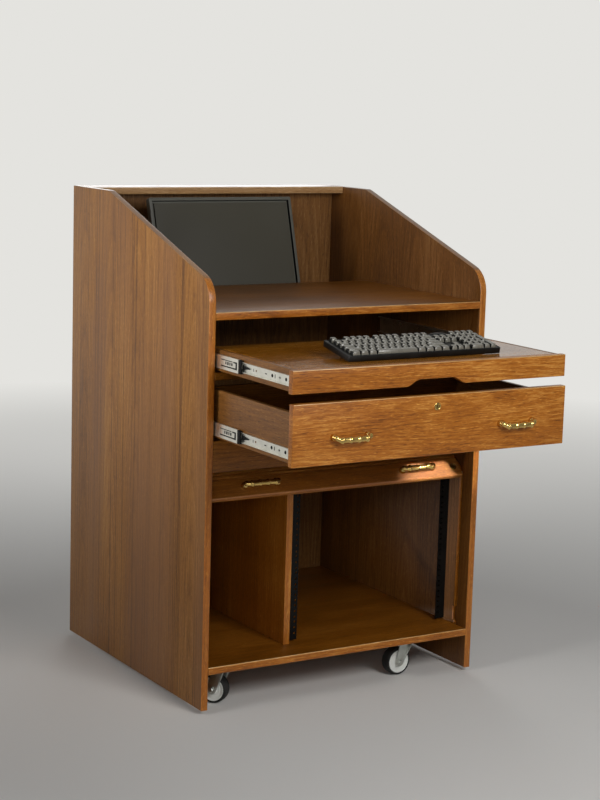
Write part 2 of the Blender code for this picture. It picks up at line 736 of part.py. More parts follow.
def lead_bar():
    """The door's lead bar with the guide rod through it. Its frame is on the rod's axis."""
    half = inner - LEAD_BAR_END_GAP
    back = LEAD_BAR_THICK - LEAD_BAR_FRONT
    ease = 2 * EASE
    low, high = -ROD_RISE, LEAD_BAR_HEIGHT - ROD_RISE
    outline = [
        (-LEAD_BAR_FRONT + ease, low),
        (back, low),
        (back, high - ease),
        (back - ease, high),
        (-LEAD_BAR_FRONT + ease, high),
        (-LEAD_BAR_FRONT, high - ease),
        (-LEAD_BAR_FRONT, low + ease),
    ]
    bar = piece("door_lead_bar", prism(outline, -half, half), OAK_SOLID, door_bar)
    bore = rod(ROD_RADIUS + ROD_RUN, -WIDTH / 2, WIDTH / 2, "X", sides=12)
    combine(bar, tool("guide_rod_bore", bore, door_bar), "DIFFERENCE")
    hole = rod(LOCK_RADIUS + LOCK_RUN, -BOARD, BOARD, "Y", door_lock.location, sides=20)
    combine(bar, tool("door_lock_bore", hole, door_bar), "DIFFERENCE")

    end = inner + TRACK_DEPTH - ROD_END_GAP
    roller = TRACK_DEPTH - 2 * ROD_END_GAP
    shaft = piece("door_guide_rod", rod(ROD_RADIUS, -end, end, "X", sides=12), ZINC, door_rod)
    ends = bmesh.new()
    for side in (-1, 1):
        add_rod(ends, ROLLER_RADIUS, side * (end - roller), side * end, "X", (0, 0, 0), sides=12)
    combine(shaft, tool("guide_rollers", ends, door_rod), "UNION")


def track_point(distance, radius, run):
    """A point of the stored curtain and its heading, at a distance behind the bend's middle line."""
    quarter = radius * math.pi / 2
    if distance < quarter:
        turn = math.pi - distance / radius
        spot = Vector((bend_centre.y + radius * math.cos(turn), bend_centre.z + radius * math.sin(turn)))
        return spot, turn - math.pi / 2
    return Vector((bend_centre.y + distance - quarter, run)), 0.0


def curtain():
    """The slats of the open door on their canvas, one sheet lying on the track's lower wall."""
    radius = TRACK_BEND - TRACK_WIDTH / 2 + SLAT_THICK / 2 + FIT
    run = bend_centre.z + radius
    start = radius * (math.pi / 2 - rod_turn) + SLAT_CLEAR
    half = SLAT_PITCH / 2
    crown = SLAT_THICK / 2
    back = -SLAT_THICK / 2
    valley = back + SLAT_BACKING
    face, canvas = [], []
    for k in range(SLAT_COUNT):
        middle = start + (k + 0.5) * SLAT_PITCH
        ends = ((-half, back), (half, back))
        slat = [
            (-half, valley),
            (-half + SLAT_GAP, valley),
            (-half * SLAT_SHOULDER, crown - SLAT_CROWN),
            (0, crown),
            (half * SLAT_SHOULDER, crown - SLAT_CROWN),
            (half - SLAT_GAP, valley),
        ]
        for row, points in ((face, slat), (canvas, ends[:1])):
            for along, out in points:
                spot, heading = track_point(middle + along, radius, run)
                row.append((spot.x - out * math.sin(heading), spot.y + out * math.cos(heading)))
    spot, heading = track_point(start + SLAT_COUNT * SLAT_PITCH, radius, run)
    face.append((spot.x, spot.y + valley))
    canvas.append((spot.x, spot.y + back))
    half_width = inner + TRACK_DEPTH - SLAT_END_GAP
    outline = face + canvas[::-1]
    piece("door_curtain", prism(outline, -half_width, half_width), OAK_SOLID, lectern)


def monitor():
    """A flat monitor in the well behind the desktop, on a bracket that tilts. The frame is on the tilt axis.

    In the frame, the screen faces -Y and +Z runs up it."""
    front = -MONITOR_HINGE_BACK
    rim = front + MONITOR_RIM
    bulge = rim + MONITOR_BULGE
    w, h, shoulder = MONITOR_WIDTH, MONITOR_HEIGHT, 2 * MONITOR_SHOULDER
    hump = shoulder + 2 * MONITOR_BULGE
    bm = loft(
        [
            [(x, front, z) for x, z in rounded(w, h, MONITOR_RADIUS)],
            [(x, rim, z) for x, z in rounded(w, h, MONITOR_RADIUS)],
            [(x, rim, z) for x, z in rounded(w - shoulder, h - shoulder, MONITOR_RADIUS)],
            [(x, bulge, z) for x, z in rounded(w - hump, h - hump, MONITOR_RADIUS)],
        ]
    )
    case = piece("monitor_case", bm, BLACK_PLASTIC, monitor_frame)
    view_w = MONITOR_WIDTH - 2 * MONITOR_BEZEL
    view_h = MONITOR_HEIGHT - 2 * MONITOR_BEZEL
    depth = MONITOR_RECESS + SCREEN_THICK
    well = box((-view_w / 2, front - BOARD, -view_h / 2), (view_w / 2, front + depth, view_h / 2))
    combine(case, tool("screen_well", well, monitor_frame), "DIFFERENCE")
    low = Vector((-view_w / 2 + FIT, front + MONITOR_RECESS, -view_h / 2 + FIT))
    high = Vector((view_w / 2 - FIT, front + depth - FIT, view_h / 2 - FIT))
    board("monitor_screen", low, high, monitor_frame, SCREEN, 0.0)

    # The bracket's plate on the back of the case, with a knuckle round the pin
    plate = bulge + FIT
    size = VESA_PLATE / 2
    bracket = piece(
        "monitor_bracket",
        box((-size, plate, -size), (size, plate + VESA_STEEL, size), EASE / 2),
        BLACK_STEEL,
        monitor_frame,
    )
    knuckle = bmesh.new()
    half = KNUCKLE_WIDTH / 2
    add_box(knuckle, (-half, plate + VESA_STEEL / 2, -KNUCKLE_RADIUS), (half, 0, KNUCKLE_RADIUS))
    combine(bracket, tool("bracket_web", knuckle, monitor_frame), "UNION")
    barrel = rod(KNUCKLE_RADIUS, -half, half, "X", sides=20)
    combine(bracket, tool("bracket_barrel", barrel, monitor_frame), "UNION")
    pin_hole = rod(PIN_RADIUS + PIN_RUN, -2 * half, 2 * half, "X", sides=16)
    combine(bracket, tool("bracket_bore", pin_hole, monitor_frame), "DIFFERENCE")

    # The fixed arm: a plate on the back panel, a box arm and two ears with the pin across them
    frame = monitor_stand
    wall = back_face - FIT - lectern_place(frame).y
    size = ARM_PLATE / 2
    arm = piece(
        "monitor_arm",
        box((-size, wall - VESA_STEEL, -size), (size, wall, size), EASE / 2),
        BLACK_STEEL,
        frame,
    )
    ear_in = half + PIN_RUN
    ear_out = ear_in + EAR_THICK
    shape = bmesh.new()
    root = KNUCKLE_RADIUS + EAR_ROOT
    add_box(shape, (-ear_out, root, -KNUCKLE_RADIUS), (ear_out, wall - VESA_STEEL / 2, KNUCKLE_RADIUS))
    combine(arm, tool("arm_beam", shape, frame), "UNION")
    for side in (-1, 1):
        near, far = sorted((side * ear_in, side * ear_out))
        outline = arc((0, 0), KNUCKLE_RADIUS, math.pi / 2, 3 * math.pi / 2, 8)
        outline += [(root + EAR_THICK, -KNUCKLE_RADIUS), (root + EAR_THICK, KNUCKLE_RADIUS)]
        combine(arm, tool(f"arm_ear_{side}", prism(outline, near, far), frame), "UNION")
    pin = rod(PIN_RADIUS, -ear_out - PIN_END, ear_out + PIN_END, "X", sides=16)
    combine(arm, tool("arm_pin", pin, frame), "UNION")


def lectern_place(frame):
    """Where a frame stands in the design frame."""
    spot = Vector(frame.location)
    while frame.parent is not None and frame.parent is not lectern:
        frame = frame.parent
        spot = spot + Vector(frame.location)
    return spot


def keyboard():
    """A full-size keyboard on its flip feet: a slab case and its keys on one bed.

    Its frame is on the tray at the case's front edge, tilted up towards the back."""
    stand = empty("keyboard_frame", (KEYBOARD_X, KEYBOARD_SETBACK, FIT), tray, (KEYBOARD_TILT, 0, 0))
    half = KEYBOARD_WIDTH / 2
    slab = box((-half, 0, 0), (half, KEYBOARD_DEPTH, KEYBOARD_THICK), KEYBOARD_EASE)
    case = piece("keyboard_case", slab, BLACK_PLASTIC, stand)
    back = KEYBOARD_DEPTH - FOOT_SETBACK
    fall = math.tan(KEYBOARD_TILT)
    top = KEYBOARD_THICK / 2
    outline = [(back - FOOT_THICK, top), (back, top), (back, -back * fall)]
    outline.append((back - FOOT_THICK, -(back - FOOT_THICK) * fall))
    for side in (-1, 1):
        middle = side * FOOT_SPACING / 2
        foot = prism(outline, middle - FOOT_WIDTH / 2, middle + FOOT_WIDTH / 2)
        combine(case, tool(f"keyboard_foot_{side}", foot, stand), "UNION")

    left = -KEY_COLUMNS * KEY_PITCH / 2
    first = (KEYBOARD_DEPTH - (FUNCTION_ROW + 1) * KEY_PITCH) / 2
    edge = KEY_BED_EDGE
    bed = box(
        (left - edge, first - edge, KEYBOARD_THICK + FIT),
        (-left + edge, KEYBOARD_DEPTH - first + edge, KEYBOARD_THICK + KEY_BED),
    )
    keys = piece("keyboard_keys", bed, BLACK_PLASTIC, stand)
    caps = bmesh.new()
    for column, row, wide, deep in key_places():
        corner = (left + column * KEY_PITCH, first + row * KEY_PITCH)
        add_cap(caps, corner, wide * KEY_PITCH, deep * KEY_PITCH)
    combine(keys, tool("key_caps", caps, stand), "UNION")


def key_places():
    """Each key's column, row, width and depth in key pitches, from the front left corner of the keys."""
    for row, widths in enumerate(KEY_ROWS):
        column = 0
        for wide in widths:
            yield column, row, wide, 1
            column += wide
    for column in FUNCTION_KEYS:
        yield column, FUNCTION_ROW, 1, 1
    for step in range(3):
        yield EDIT_COLUMN + step, 0, 1, 1
        yield EDIT_COLUMN + step, 3, 1, 1
        yield EDIT_COLUMN + step, 4, 1, 1
    yield EDIT_COLUMN + 1, 1, 1, 1
    yield PAD_COLUMN, 0, 2, 1
    yield PAD_COLUMN + 2, 0, 1, 1
    for row in range(1, 5):
        for step in range(3):
            yield PAD_COLUMN + step, row, 1, 1
    yield PAD_COLUMN + 3, 0, 1, 2
    yield PAD_COLUMN + 3, 2, 1, 2
    yield PAD_COLUMN + 3, 4, 1, 1


def add_cap(bm, corner, wide, deep):
    """One tapered key cap on the bed, in the middle of its place."""
    spare = (KEY_PITCH - KEY_SIZE) / 2
    low = (corner[0] + spare, corner[1] + spare, KEYBOARD_THICK + KEY_BED / 2)
    high = (corner[0] + wide - spare, corner[1] + deep - spare, KEYBOARD_THICK + KEY_TALL)
    middle = Vector((corner[0] + wide / 2, corner[1] + deep / 2, 0))
    for v in add_box(bm, low, high):
        if v.co.z > KEYBOARD_THICK + KEY_BED:
            v.co.x -= math.copysign(KEY_DRAW, v.co.x - middle.x)
            v.co.y -= math.copysign(KEY_DRAW, v.co.y - middle.y)


def caster_plate(name, stand):
    """The square plate under the shelf, with the swivel's race below it."""
    under = CASTER_HEIGHT - FIT
    shape = prism(rounded(PLATE_SIZE, PLATE_SIZE, PLATE_CORNER, 2), under - PLATE_STEEL, under, "Z")
    plate = piece(f"caster_plate_{name}", shape, ZINC, stand)
    low = under - PLATE_STEEL - RACE_HEIGHT
    race = rod(0.9 * RACE_RADIUS, low, under - PLATE_STEEL / 2, "Z", sides=20, tip=RACE_RADIUS)
    combine(plate, tool(f"caster_race_{name}", race, stand), "UNION")
    return low


def caster_fork(name, swivel, crown):
    """A pressed fork: a deck under the race, a leg on each side of the wheel, and the axle across them."""
    inside = WHEEL_WIDTH / 2 + FORK_CLEAR
    outside = inside + FORK_STEEL
    deck = crown - 2 * FORK_STEEL
    shape = prism(rounded(FORK_LENGTH, 2 * outside, FORK_CORNER, 3), deck, crown, "Z")
    fork = piece(f"caster_fork_{name}", shape, ZINC, swivel)
    reach = FORK_LENGTH / 2 - FORK_CORNER
    for side in (-1, 1):
        near, far = sorted((side * inside, side * outside))
        outline = arc((CASTER_TRAIL, WHEEL_RADIUS), FORK_FOOT, -0.85 * math.pi, 0.1 * math.pi, 8)
        outline += [(reach, crown - FORK_STEEL), (-reach, crown - FORK_STEEL)]
        leg = tool(f"caster_leg_{name}_{side}", prism(outline, near, far, "Y"), swivel)
        combine(fork, leg, "UNION")
        flange = caster_flange(outline[-1], outline[0], side * (inside + FORK_STEEL / 2), side * FORK_FLANGE)
        combine(fork, tool(f"caster_flange_{name}_{side}", flange, swivel), "UNION")
    end = outside + AXLE_END
    pin = rod(AXLE_RADIUS, -end, end, "Y", (CASTER_TRAIL, 0, WHEEL_RADIUS), sides=12)
    combine(fork, tool(f"caster_pin_{name}", pin, swivel), "UNION")


def caster_flange(top, low, root, out):
    """The edge of a leg turned outwards, from its full width at the top to nothing at the axle."""
    rings = []
    for shift in (FORK_STEEL / 4, FORK_STEEL):
        ring = [(top[0] + shift, root, top[1]), (top[0] + shift, root + out, top[1])]
        rings.append(ring + [(low[0] + shift, root, low[1])])
    return loft(rings)


def caster_wheel(name, axle):
    """A moulded wheel with a dished hub and a rounded tread, turned about the axle."""
    half = WHEEL_WIDTH / 2
    dish = half - WHEEL_DISH
    profile = [
        (AXLE_RADIUS + AXLE_RUN, half),
        (WHEEL_BOSS, half),
        (WHEEL_BOSS + WHEEL_DISH / 2, dish),
        (WHEEL_HUB - WHEEL_DISH, dish),
        (WHEEL_HUB, half - WHEEL_DISH / 4),
        (WHEEL_RADIUS - TREAD_ROUND, half - WHEEL_DISH / 4),
        (WHEEL_RADIUS, half - TREAD_ROUND),
    ]
    profile += [(r, -w) for r, w in reversed(profile)]
    bm = bmesh.new()
    ring = [bm.verts.new((r, w, 0)) for r, w in profile]
    edges = [bm.edges.new((a, b)) for a, b in zip(ring, ring[1:] + ring[:1])]
    bmesh.ops.spin(
        bm,
        geom=ring + edges,
        cent=(0, 0, 0),
        axis=(0, 1, 0),
        angle=2 * math.pi,
        steps=28,
        use_merge=True,
    )
    smooth(piece(f"caster_wheel_{name}", bm, WHEEL, axle))


def caster(name, side, inset, end, depth, heading):
    """A swivel caster. Its swivel's frame is turned so that the wheel trails along its +X."""
    y = depth if end == "front" else back_face - depth
    stand = empty(f"caster_{name}", (side * (inner - inset), y, 0), lectern)
    swivel = empty(f"caster_swivel_{name}", (0, 0, 0), stand, (0, 0, heading))
    axle = empty(f"caster_axle_{name}", (CASTER_TRAIL, 0, WHEEL_RADIUS), swivel)
    race = caster_plate(name, stand)
    caster_fork(name, swivel, race - SWIVEL_RUN)
    caster_wheel(name, axle)


carcass()
rack_rail("rack_rail_left", -1, divider_right)
rack_rail("rack_rail_right", 1, inner)

keyboard_tray()
drawer_box()
tray_middles = empty("tray_middle_frame", (0, 0, 0), lectern)
drawer_middles = empty("drawer_middle_frame", (0, 0, 0), lectern)
for side in (-1, 1):
    slide("tray", side, tray, TRAY_OPEN, tray_bottom + TRAY_SLIDE_RISE, tray_middles)
    slide("drawer", side, drawer, DRAWER_OPEN, drawer_bottom + DRAWER_SLIDE_RISE, drawer_middles)
keyboard()

door_rod = empty("door_rod_frame", (0, rod_y, rod_z), lectern)
door_bar = empty("door_bar_frame", (0, 0, 0), door_rod, (-math.pi / 4, 0, 0))
lock_spot = (inner - DOOR_LOCK_INSET, -LEAD_BAR_FRONT, LEAD_BAR_HEIGHT / 2 - ROD_RISE)
door_lock = empty("door_lock_frame", lock_spot, door_bar)
lead_bar()
curtain()
cam_lock("door_lock", door_lock, LEAD_BAR_THICK, DOOR_CAM, (0, -1))
drawer_lock = empty("drawer_lock_frame", (DRAWER_LOCK_SHIFT, 0, DRAWER_FRONT_HEIGHT - LOCK_DROP), drawer)
cam_lock("drawer_lock", drawer_lock, BOARD, DRAWER_CAM, (1, 0))
pulls()

# The monitor's face crosses the desk's level behind the desktop's back edge
face_up = MONITOR_SHOWN - MONITOR_HEIGHT / 2
cross_y = DESK_DEPTH + MONITOR_DESK_GAP
tilt_sin = math.sin(MONITOR_TILT)
tilt_cos = math.cos(MONITOR_TILT)
hinge_y = cross_y + face_up * tilt_sin + MONITOR_HINGE_BACK * tilt_cos
hinge_z = desk_level + face_up * tilt_cos - MONITOR_HINGE_BACK * tilt_sin
monitor_stand = empty("monitor_stand_frame", (MONITOR_X, hinge_y, hinge_z), lectern)
monitor_frame = empty("monitor_tilt_frame", (0, 0, 0), monitor_stand, (-MONITOR_TILT, 0, 0))
monitor()

for name, facts in CASTERS.items():
    caster(name, *facts)
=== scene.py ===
"""Looks of the multimedia lectern: finishes for every solid, and the fine pieces that dress them.

Metres in the frame of the solids: +X to the presenter's right, -Y towards the presenter, floor at z = 0."""
import json
import math

import bmesh
import bpy
from mathutils import Matrix, Vector


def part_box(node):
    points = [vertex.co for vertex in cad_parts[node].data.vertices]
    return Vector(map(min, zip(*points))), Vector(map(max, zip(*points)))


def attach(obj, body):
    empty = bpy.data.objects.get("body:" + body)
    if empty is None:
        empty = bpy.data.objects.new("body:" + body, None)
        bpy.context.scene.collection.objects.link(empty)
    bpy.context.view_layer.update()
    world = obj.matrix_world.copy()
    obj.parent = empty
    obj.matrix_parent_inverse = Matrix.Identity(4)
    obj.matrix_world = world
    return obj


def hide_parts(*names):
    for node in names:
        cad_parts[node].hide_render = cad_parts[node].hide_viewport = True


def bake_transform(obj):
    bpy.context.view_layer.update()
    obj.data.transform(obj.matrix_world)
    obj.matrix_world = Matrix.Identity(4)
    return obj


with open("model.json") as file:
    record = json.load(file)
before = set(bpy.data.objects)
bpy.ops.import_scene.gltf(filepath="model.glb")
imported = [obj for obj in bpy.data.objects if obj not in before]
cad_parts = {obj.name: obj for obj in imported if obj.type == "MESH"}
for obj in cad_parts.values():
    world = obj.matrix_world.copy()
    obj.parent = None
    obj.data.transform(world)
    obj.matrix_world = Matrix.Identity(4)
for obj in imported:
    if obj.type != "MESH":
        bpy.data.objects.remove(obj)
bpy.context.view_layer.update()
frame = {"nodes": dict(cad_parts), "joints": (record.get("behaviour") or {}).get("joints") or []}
nodes = frame["nodes"]
joints = {joint["name"]: joint for joint in frame["joints"]}
scene = bpy.context.scene

# Sizes that the dressing shares with the solids
FIT = 0.0003
BOARD_EASE = 0.0016
NOTCH_HEIGHT = 0.016
NOTCH_TOP = 0.096
NOTCH_BOTTOM = 0.176
NOTCH_SHIFT = 0.006
LOCK_RADIUS = 0.0060
BAR_FRONT = 0.0055
BAR_HEIGHT = 0.057
ROD_RISE = 0.010
SLIDE_STEEL = 0.0012
SLIDE_MIDDLE_HEIGHT = 0.034
SLIDE_SCREWS = (0.026, 0.089)
KEYBOARD_TILT = math.radians(11.0)
KEYBOARD_SETBACK = 0.0713
KEYBOARD_WIDTH = 0.450
KEYBOARD_DEPTH = 0.122
KEYBOARD_THICK = 0.0155
KEY_TALL = 0.0085
KEY_PITCH = 0.0190
MONITOR_TILT = math.radians(16.2)
MONITOR_SIZE = (0.453, 0.300)
MONITOR_FRONT = -0.068
MONITOR_RIM = 0.020
MONITOR_BULGE = 0.022
MONITOR_SHOULDER = 0.040
MONITOR_BEZEL = 0.015
WHEEL_RADIUS = 0.038
WHEEL_WIDTH = 0.032
WHEEL_HUB = 0.0325
CASTER_TRAIL = 0.018
SLAT_PITCH = 0.012
SLAT_THICK = 0.008

# Sizes of the dressing alone
LOCK_BEZEL = 0.0098
PULL_GRIP = 0.0090
PULL_REACH = 0.0190
PULL_DROP = 0.0055
DRAWER_PULL_LIFT = 0.0055
DOOR_PULL_LIFT = 0.0020
SLAT_VALLEY = 0.0055
SLAT_FACE = 0.0058


def linear(code):
    """A hex colour as linear red, green and blue with alpha."""
    parts = [int(code[k:k + 2], 16) / 255 for k in (1, 3, 5)]
    return (*[c / 12.92 if c <= 0.04045 else ((c + 0.055) / 1.055) ** 2.4 for c in parts], 1.0)


def per(millimetres):
    """How many features of a real size fit in a metre."""
    return 1000.0 / millimetres


def add(tree, kind, inputs=(), stops=(), **settings):
    """A shader node with its settings. An input is a value, or a node or socket to link."""
    node = tree.nodes.new("ShaderNode" + kind)
    for key, value in settings.items():
        setattr(node, key, value)
    for k, (place, colour) in enumerate(stops):
        elements = node.color_ramp.elements
        stop = elements[k] if k < len(elements) else elements.new(place)
        stop.position = place
        stop.color = linear(colour)
    for key, value in inputs.items() if isinstance(inputs, dict) else enumerate(inputs):
        if isinstance(value, bpy.types.Node):
            value = value.outputs[0]
        if isinstance(value, bpy.types.NodeSocket):
            tree.links.new(value, node.inputs[key])
        else:
            node.inputs[key].default_value = value
    return node


def finish(name, slot, colour, roughness, metallic=0.0, **sockets):
    """A new material, its tree and its shader, with what is the same all over set on the shader itself."""
    material = bpy.data.materials.new(name)
    material.use_nodes = True
    material.diffuse_color = linear(colour)
    tree = material.node_tree
    shader = tree.nodes["Principled BSDF"]
    shader.inputs["Base Color"].default_value = linear(colour)
    shader.inputs["Roughness"].default_value = roughness
    shader.inputs["Metallic"].default_value = metallic
    for socket, value in sockets.items():
        shader.inputs[socket.replace("_", " ")].default_value = value
    return material, tree, shader


def oak(name, grain, across, tones, figure=0.1, wave=0.004, seed=0.0, gloss=0.42, level=0.3, mottle=0.0,
        lines=0.0, haze=None, coat=0.04):
    """Oak veneer, sliced, stained and sprayed with satin lacquer.

    The eye sees long fine streaks, short dark pores, a few light flecks and faint nested arches.
    Tones are the pore, late wood, early wood and fleck colours. Mottle runs from 0, straight and even
    along the board, to 1, short in the grain and cloudy. Lines is the depth of long hairlines, haze the
    colour where the stain took less, and coat how thick the lacquer lies, which shows as a paler sheen."""
    pore, late, early, fleck = tones
    lacquer = {"Coat_Weight": coat, "Coat_Roughness": gloss, "Coat_IOR": 1.5 + 0.7 * coat}
    material, tree, shader = finish(name, "oak_veneer", early, gloss, Specular_IOR_Level=level, **lacquer)
    axis, width = "XYZ".index(grain), "XYZ".index(across)
    place = add(tree, "TexCoord").outputs["Object"]

    def strokes(long, wide, detail, vector, output="Fac"):
        """Noise drawn out along the grain, in strokes so many millimetres long and wide."""
        scale = [per(wide)] * 3
        scale[axis] = per(long)
        start = (seed, 2 * seed, 3 * seed)
        laid = add(tree, "Mapping", {"Vector": vector, "Location": start, "Scale": scale})
        noise = add(tree, "TexNoise", {"Vector": laid, "Scale": 1.0, "Detail": detail, "Roughness": 0.55})
        return noise.outputs[output]

    wander = strokes(260, 45, 1.0, place, "Color")
    moved = add(tree, "VectorMath", [wander, (wave,) * 3, place], operation="MULTIPLY_ADD")
    streak = strokes(520 - 380 * mottle, 5.0, 3.0, moved)
    fibre = strokes(120 - 85 * mottle, 1.8, 2.0, moved)
    cloud = strokes(600 - 420 * mottle, 130 - 75 * mottle, 1.0, moved)
    sheet = strokes(2600, 42, 2.0, moved)
    # Real pores are 0.3 mm wide, too fine to show, so they are drawn 1.1 mm wide
    dash = strokes(22, 1.1, 1.0, moved)
    pores = add(tree, "MapRange", [dash, 0.60, 0.70, 0.0, 1.0])
    glint = strokes(13, 1.3, 0.0, moved)
    flecks = add(tree, "MapRange", [glint, 0.66, 0.76, 0.0, 1.0])

    # Arches: growth rings 8 mm apart, cut lengthwise, mirrored from one 160 mm leaf of veneer to the next
    split = add(tree, "SeparateXYZ", [moved])
    leaf = add(tree, "Math", [split.outputs[width], 3.2 + seed], operation="ADD")
    leaf = add(tree, "Math", [leaf, 0.16], operation="PINGPONG")
    leaf = add(tree, "Math", [leaf, 0.075], operation="SUBTRACT")
    reach = add(tree, "Math", [split.outputs[axis], 0.055, 0.02 + 0.03 * seed], operation="MULTIPLY_ADD")
    arch = add(tree, "VectorMath", [add(tree, "CombineXYZ", [leaf, reach, 0.0])], operation="LENGTH")
    ring = add(tree, "Math", [arch.outputs["Value"], per(8)], operation="MULTIPLY")
    ring = add(tree, "Math", [ring], operation="FRACT")
    rise = add(tree, "MapRange", [ring, 0.0, 0.7, 0.0, 1.0])
    fall = add(tree, "MapRange", [ring, 0.85, 1.0, 1.0, 0.0])
    band = add(tree, "Math", [rise, fall], operation="MINIMUM")

    # Hairlines are the edges of growth rings, far under a millimetre, drawn 6 mm wide so that they show
    hair = strokes(2200, 6.0, 1.0, moved)
    hairlines = add(tree, "MapRange", [hair, 0.56, 0.64, 0.0, 1.0])
    shares = (
        (streak, 0.5 - 0.1 * mottle), (fibre, 0.5 + 0.55 * mottle), (cloud, 0.5 + 0.15 * mottle),
        (sheet, 0.25 * (1 - mottle)), (band, figure),
    )
    tone = 0.56 - sum(share for _, share in shares) / 2
    for part, share in (*shares, (hairlines, -lines), (pores, -0.34), (flecks, 0.26)):
        tone = add(tree, "Math", [part, share, tone], operation="MULTIPLY_ADD")
    colour = add(tree, "ValToRGB", [tone], [(0.10, pore), (0.38, late), (0.62, early), (0.95, fleck)])
    if haze:
        thin = add(tree, "MapRange", [strokes(2600, 240, 1.0, moved), 0.42, 0.58, 0.0, 0.55])
        colour = add(tree, "MixRGB", [thin, colour, linear(haze)])
    tree.links.new(colour.outputs[0], shader.inputs["Base Color"])
    sheen = add(tree, "MapRange", [fibre, 0.3, 0.7, gloss - 0.06, gloss + 0.08])
    tree.links.new(sheen.outputs[0], shader.inputs["Roughness"])
    relief = add(tree, "Math", [fibre, pores], operation="SUBTRACT")
    relief = add(tree, "Bump", {"Height": relief, "Distance": 0.00012, "Strength": 0.35})
    tree.links.new(relief.outputs[0], shader.inputs["Normal"])
    return material


# Tones of each board: pore, late wood, early wood and fleck
SIDE_TONES = ("#4a2b09", "#74491a", "#8c5c25", "#a77b44")
FRONT_TONES = ("#5c3006", "#90510f", "#aa6418", "#cf9142")
TRAY_TONES = ("#523006", "#86500f", "#a06419", "#c28a3e")
# Darker: painted shade on the back panel
BACK_SHADE_TONES = ("#40260b", "#65411c", "#7b5226", "#946d42")
# Darker still: painted shade inside the cabinet
INNER_SHADE_TONES = ("#321b05", "#51300e", "#663e15", "#81582e")
# Darker: painted shade on the flat boards
FLAT_SHADE_TONES = ("#3a2104", "#663a08", "#7e4a0e", "#9c6424")
BOX_TONES = ("#41260a", "#674018", "#7d5122", "#9a6f40")
# Paler: a painted sheen on the cap's front band
CAP_SHEEN_TONES = ("#5d4020", "#8b653a", "#a17a4e", "#b8946a")
# Sliced veneer on the upright boards: quiet straight grain up the cabinet, hazy where the stain is thin
oak_side = oak("oak_side", "Z", "Y", SIDE_TONES, 0.12, 0.004, 0.37, lines=0.24, haze="#785338")
# The right panel in darker tones than the left: painted shade for the inside of the cabinet
oak_shaded_inside = oak("oak_shaded_inside", "Z", "Y", INNER_SHADE_TONES, 0.12, 0.004, 0.61)
# The back panel in darker tones: painted shade for the back of the cabinet
oak_shaded_back = oak("oak_shaded_back", "Z", "X", BACK_SHADE_TONES, 0.16, 0.004, 1.71, lines=0.1)
# Crown-cut veneer on the fronts and the flat boards: short, lively, cloudy grain that runs across
oak_front = oak("oak_front", "X", "Z", FRONT_TONES, 0.16, 0.014, 0.83, 0.38, 0.4, 1.0)
# The flat boards in darker tones than the fronts: painted shade on tops, shelves and rails
oak_shaded_flat = oak("oak_shaded_flat", "X", "Y", FLAT_SHADE_TONES, 0.06, 0.006, 2.41, 0.34, 0.25, 0.6)
# The tray's top, rubbed smooth by hands: the same veneer with a sharper gloss
oak_tray = oak("oak_tray", "X", "Y", TRAY_TONES, 0.06, 0.006, 2.87, 0.20, 0.5, 0.6)
# Veneer on the sides of the drawer and tray: even grain along the slides
oak_box = oak("oak_box", "Y", "Z", BOX_TONES, 0.10, 0.006, 3.17)
# Edge bands of solid oak: plain close grain
oak_edge = oak("oak_edge", "Y", "X", SIDE_TONES, 0.05, 0.004, 0.19, 0.34, 0.5)
oak_lip = oak("oak_lip", "Z", "X", FRONT_TONES, 0.05, 0.004, 6.43, 0.34, 0.5)
# The cap's front band in paler tones: a painted sheen
oak_sheen_cap = oak("oak_sheen_cap", "X", "Z", CAP_SHEEN_TONES, 0.05, 0.004, 5.21)
# The lead bar and the slats, under thicker lacquer: a paler sheen at a low angle
oak_bar = oak("oak_bar", "X", "Z", FRONT_TONES, 0.08, 0.005, 4.03, 0.44, 0.6, coat=0.5)
# Paler wood on the eased edge between a front and its top: a painted highlight along that edge, in the tone
# of stain rubbed through
ARRIS_HIGHLIGHT_TONES = ("#8f6634", "#b98a50", "#d2a86e", "#ecd0a0")
oak_arris_highlight = oak("oak_arris_highlight", "X", "Z", ARRIS_HIGHLIGHT_TONES, 0.02, 0.004, 7.11, 0.30, 0.5)


def metal(name, slot, colour, roughness, stain, brush=(1, 1, 1), grit=3.0):
    """A plated or polished metal. Its gloss clouds over 30 mm, and fine marks run the way it was worked."""
    material, tree, shader = finish(name, slot, colour, roughness, 1.0)
    place = add(tree, "TexCoord").outputs["Object"]
    cloud = add(tree, "TexNoise", {"Vector": place, "Scale": per(30), "Detail": 2.0})
    worked = add(tree, "Mapping", {"Vector": place, "Scale": brush})
    marks = add(tree, "TexNoise", {"Vector": worked, "Scale": per(grit), "Detail": 3.0})
    gloss = add(tree, "MapRange", [cloud, 0.3, 0.7, roughness * 0.8, roughness * 1.3])
    tree.links.new(gloss.outputs[0], shader.inputs["Roughness"])
    share = add(tree, "MapRange", [cloud, 0.42, 0.72, 0.0, 0.35])
    tint = add(tree, "MixRGB", [share, linear(colour), linear(stain)])
    tree.links.new(tint.outputs[0], shader.inputs["Base Color"])
    relief = add(tree, "Bump", {"Height": marks, "Distance": 0.00003, "Strength": 0.4})
    tree.links.new(relief.outputs[0], shader.inputs["Normal"])
    return material


# Cast brass, polished and lacquered: warm bright highlights with darker hollows
brass = metal("cast_brass", "polished_brass", "#dcbb70", 0.20, "#9a7734", grit=4.0)
# Zinc-plated sheet steel: a pale warm gloss with faint rolling marks along its length
zinc = metal("zinc_plated_steel", "zinc_plate", "#e2e0d6", 0.34, "#b3b1a6", (1, 0.04, 1), 1.5)
# Pressed and plated caster forks: the same plate, duller from handling
fork_zinc = metal("pressed_zinc_steel", "zinc_plate", "#c3c6c0", 0.34, "#8d8f88", (1, 1, 0.1), 2.0)


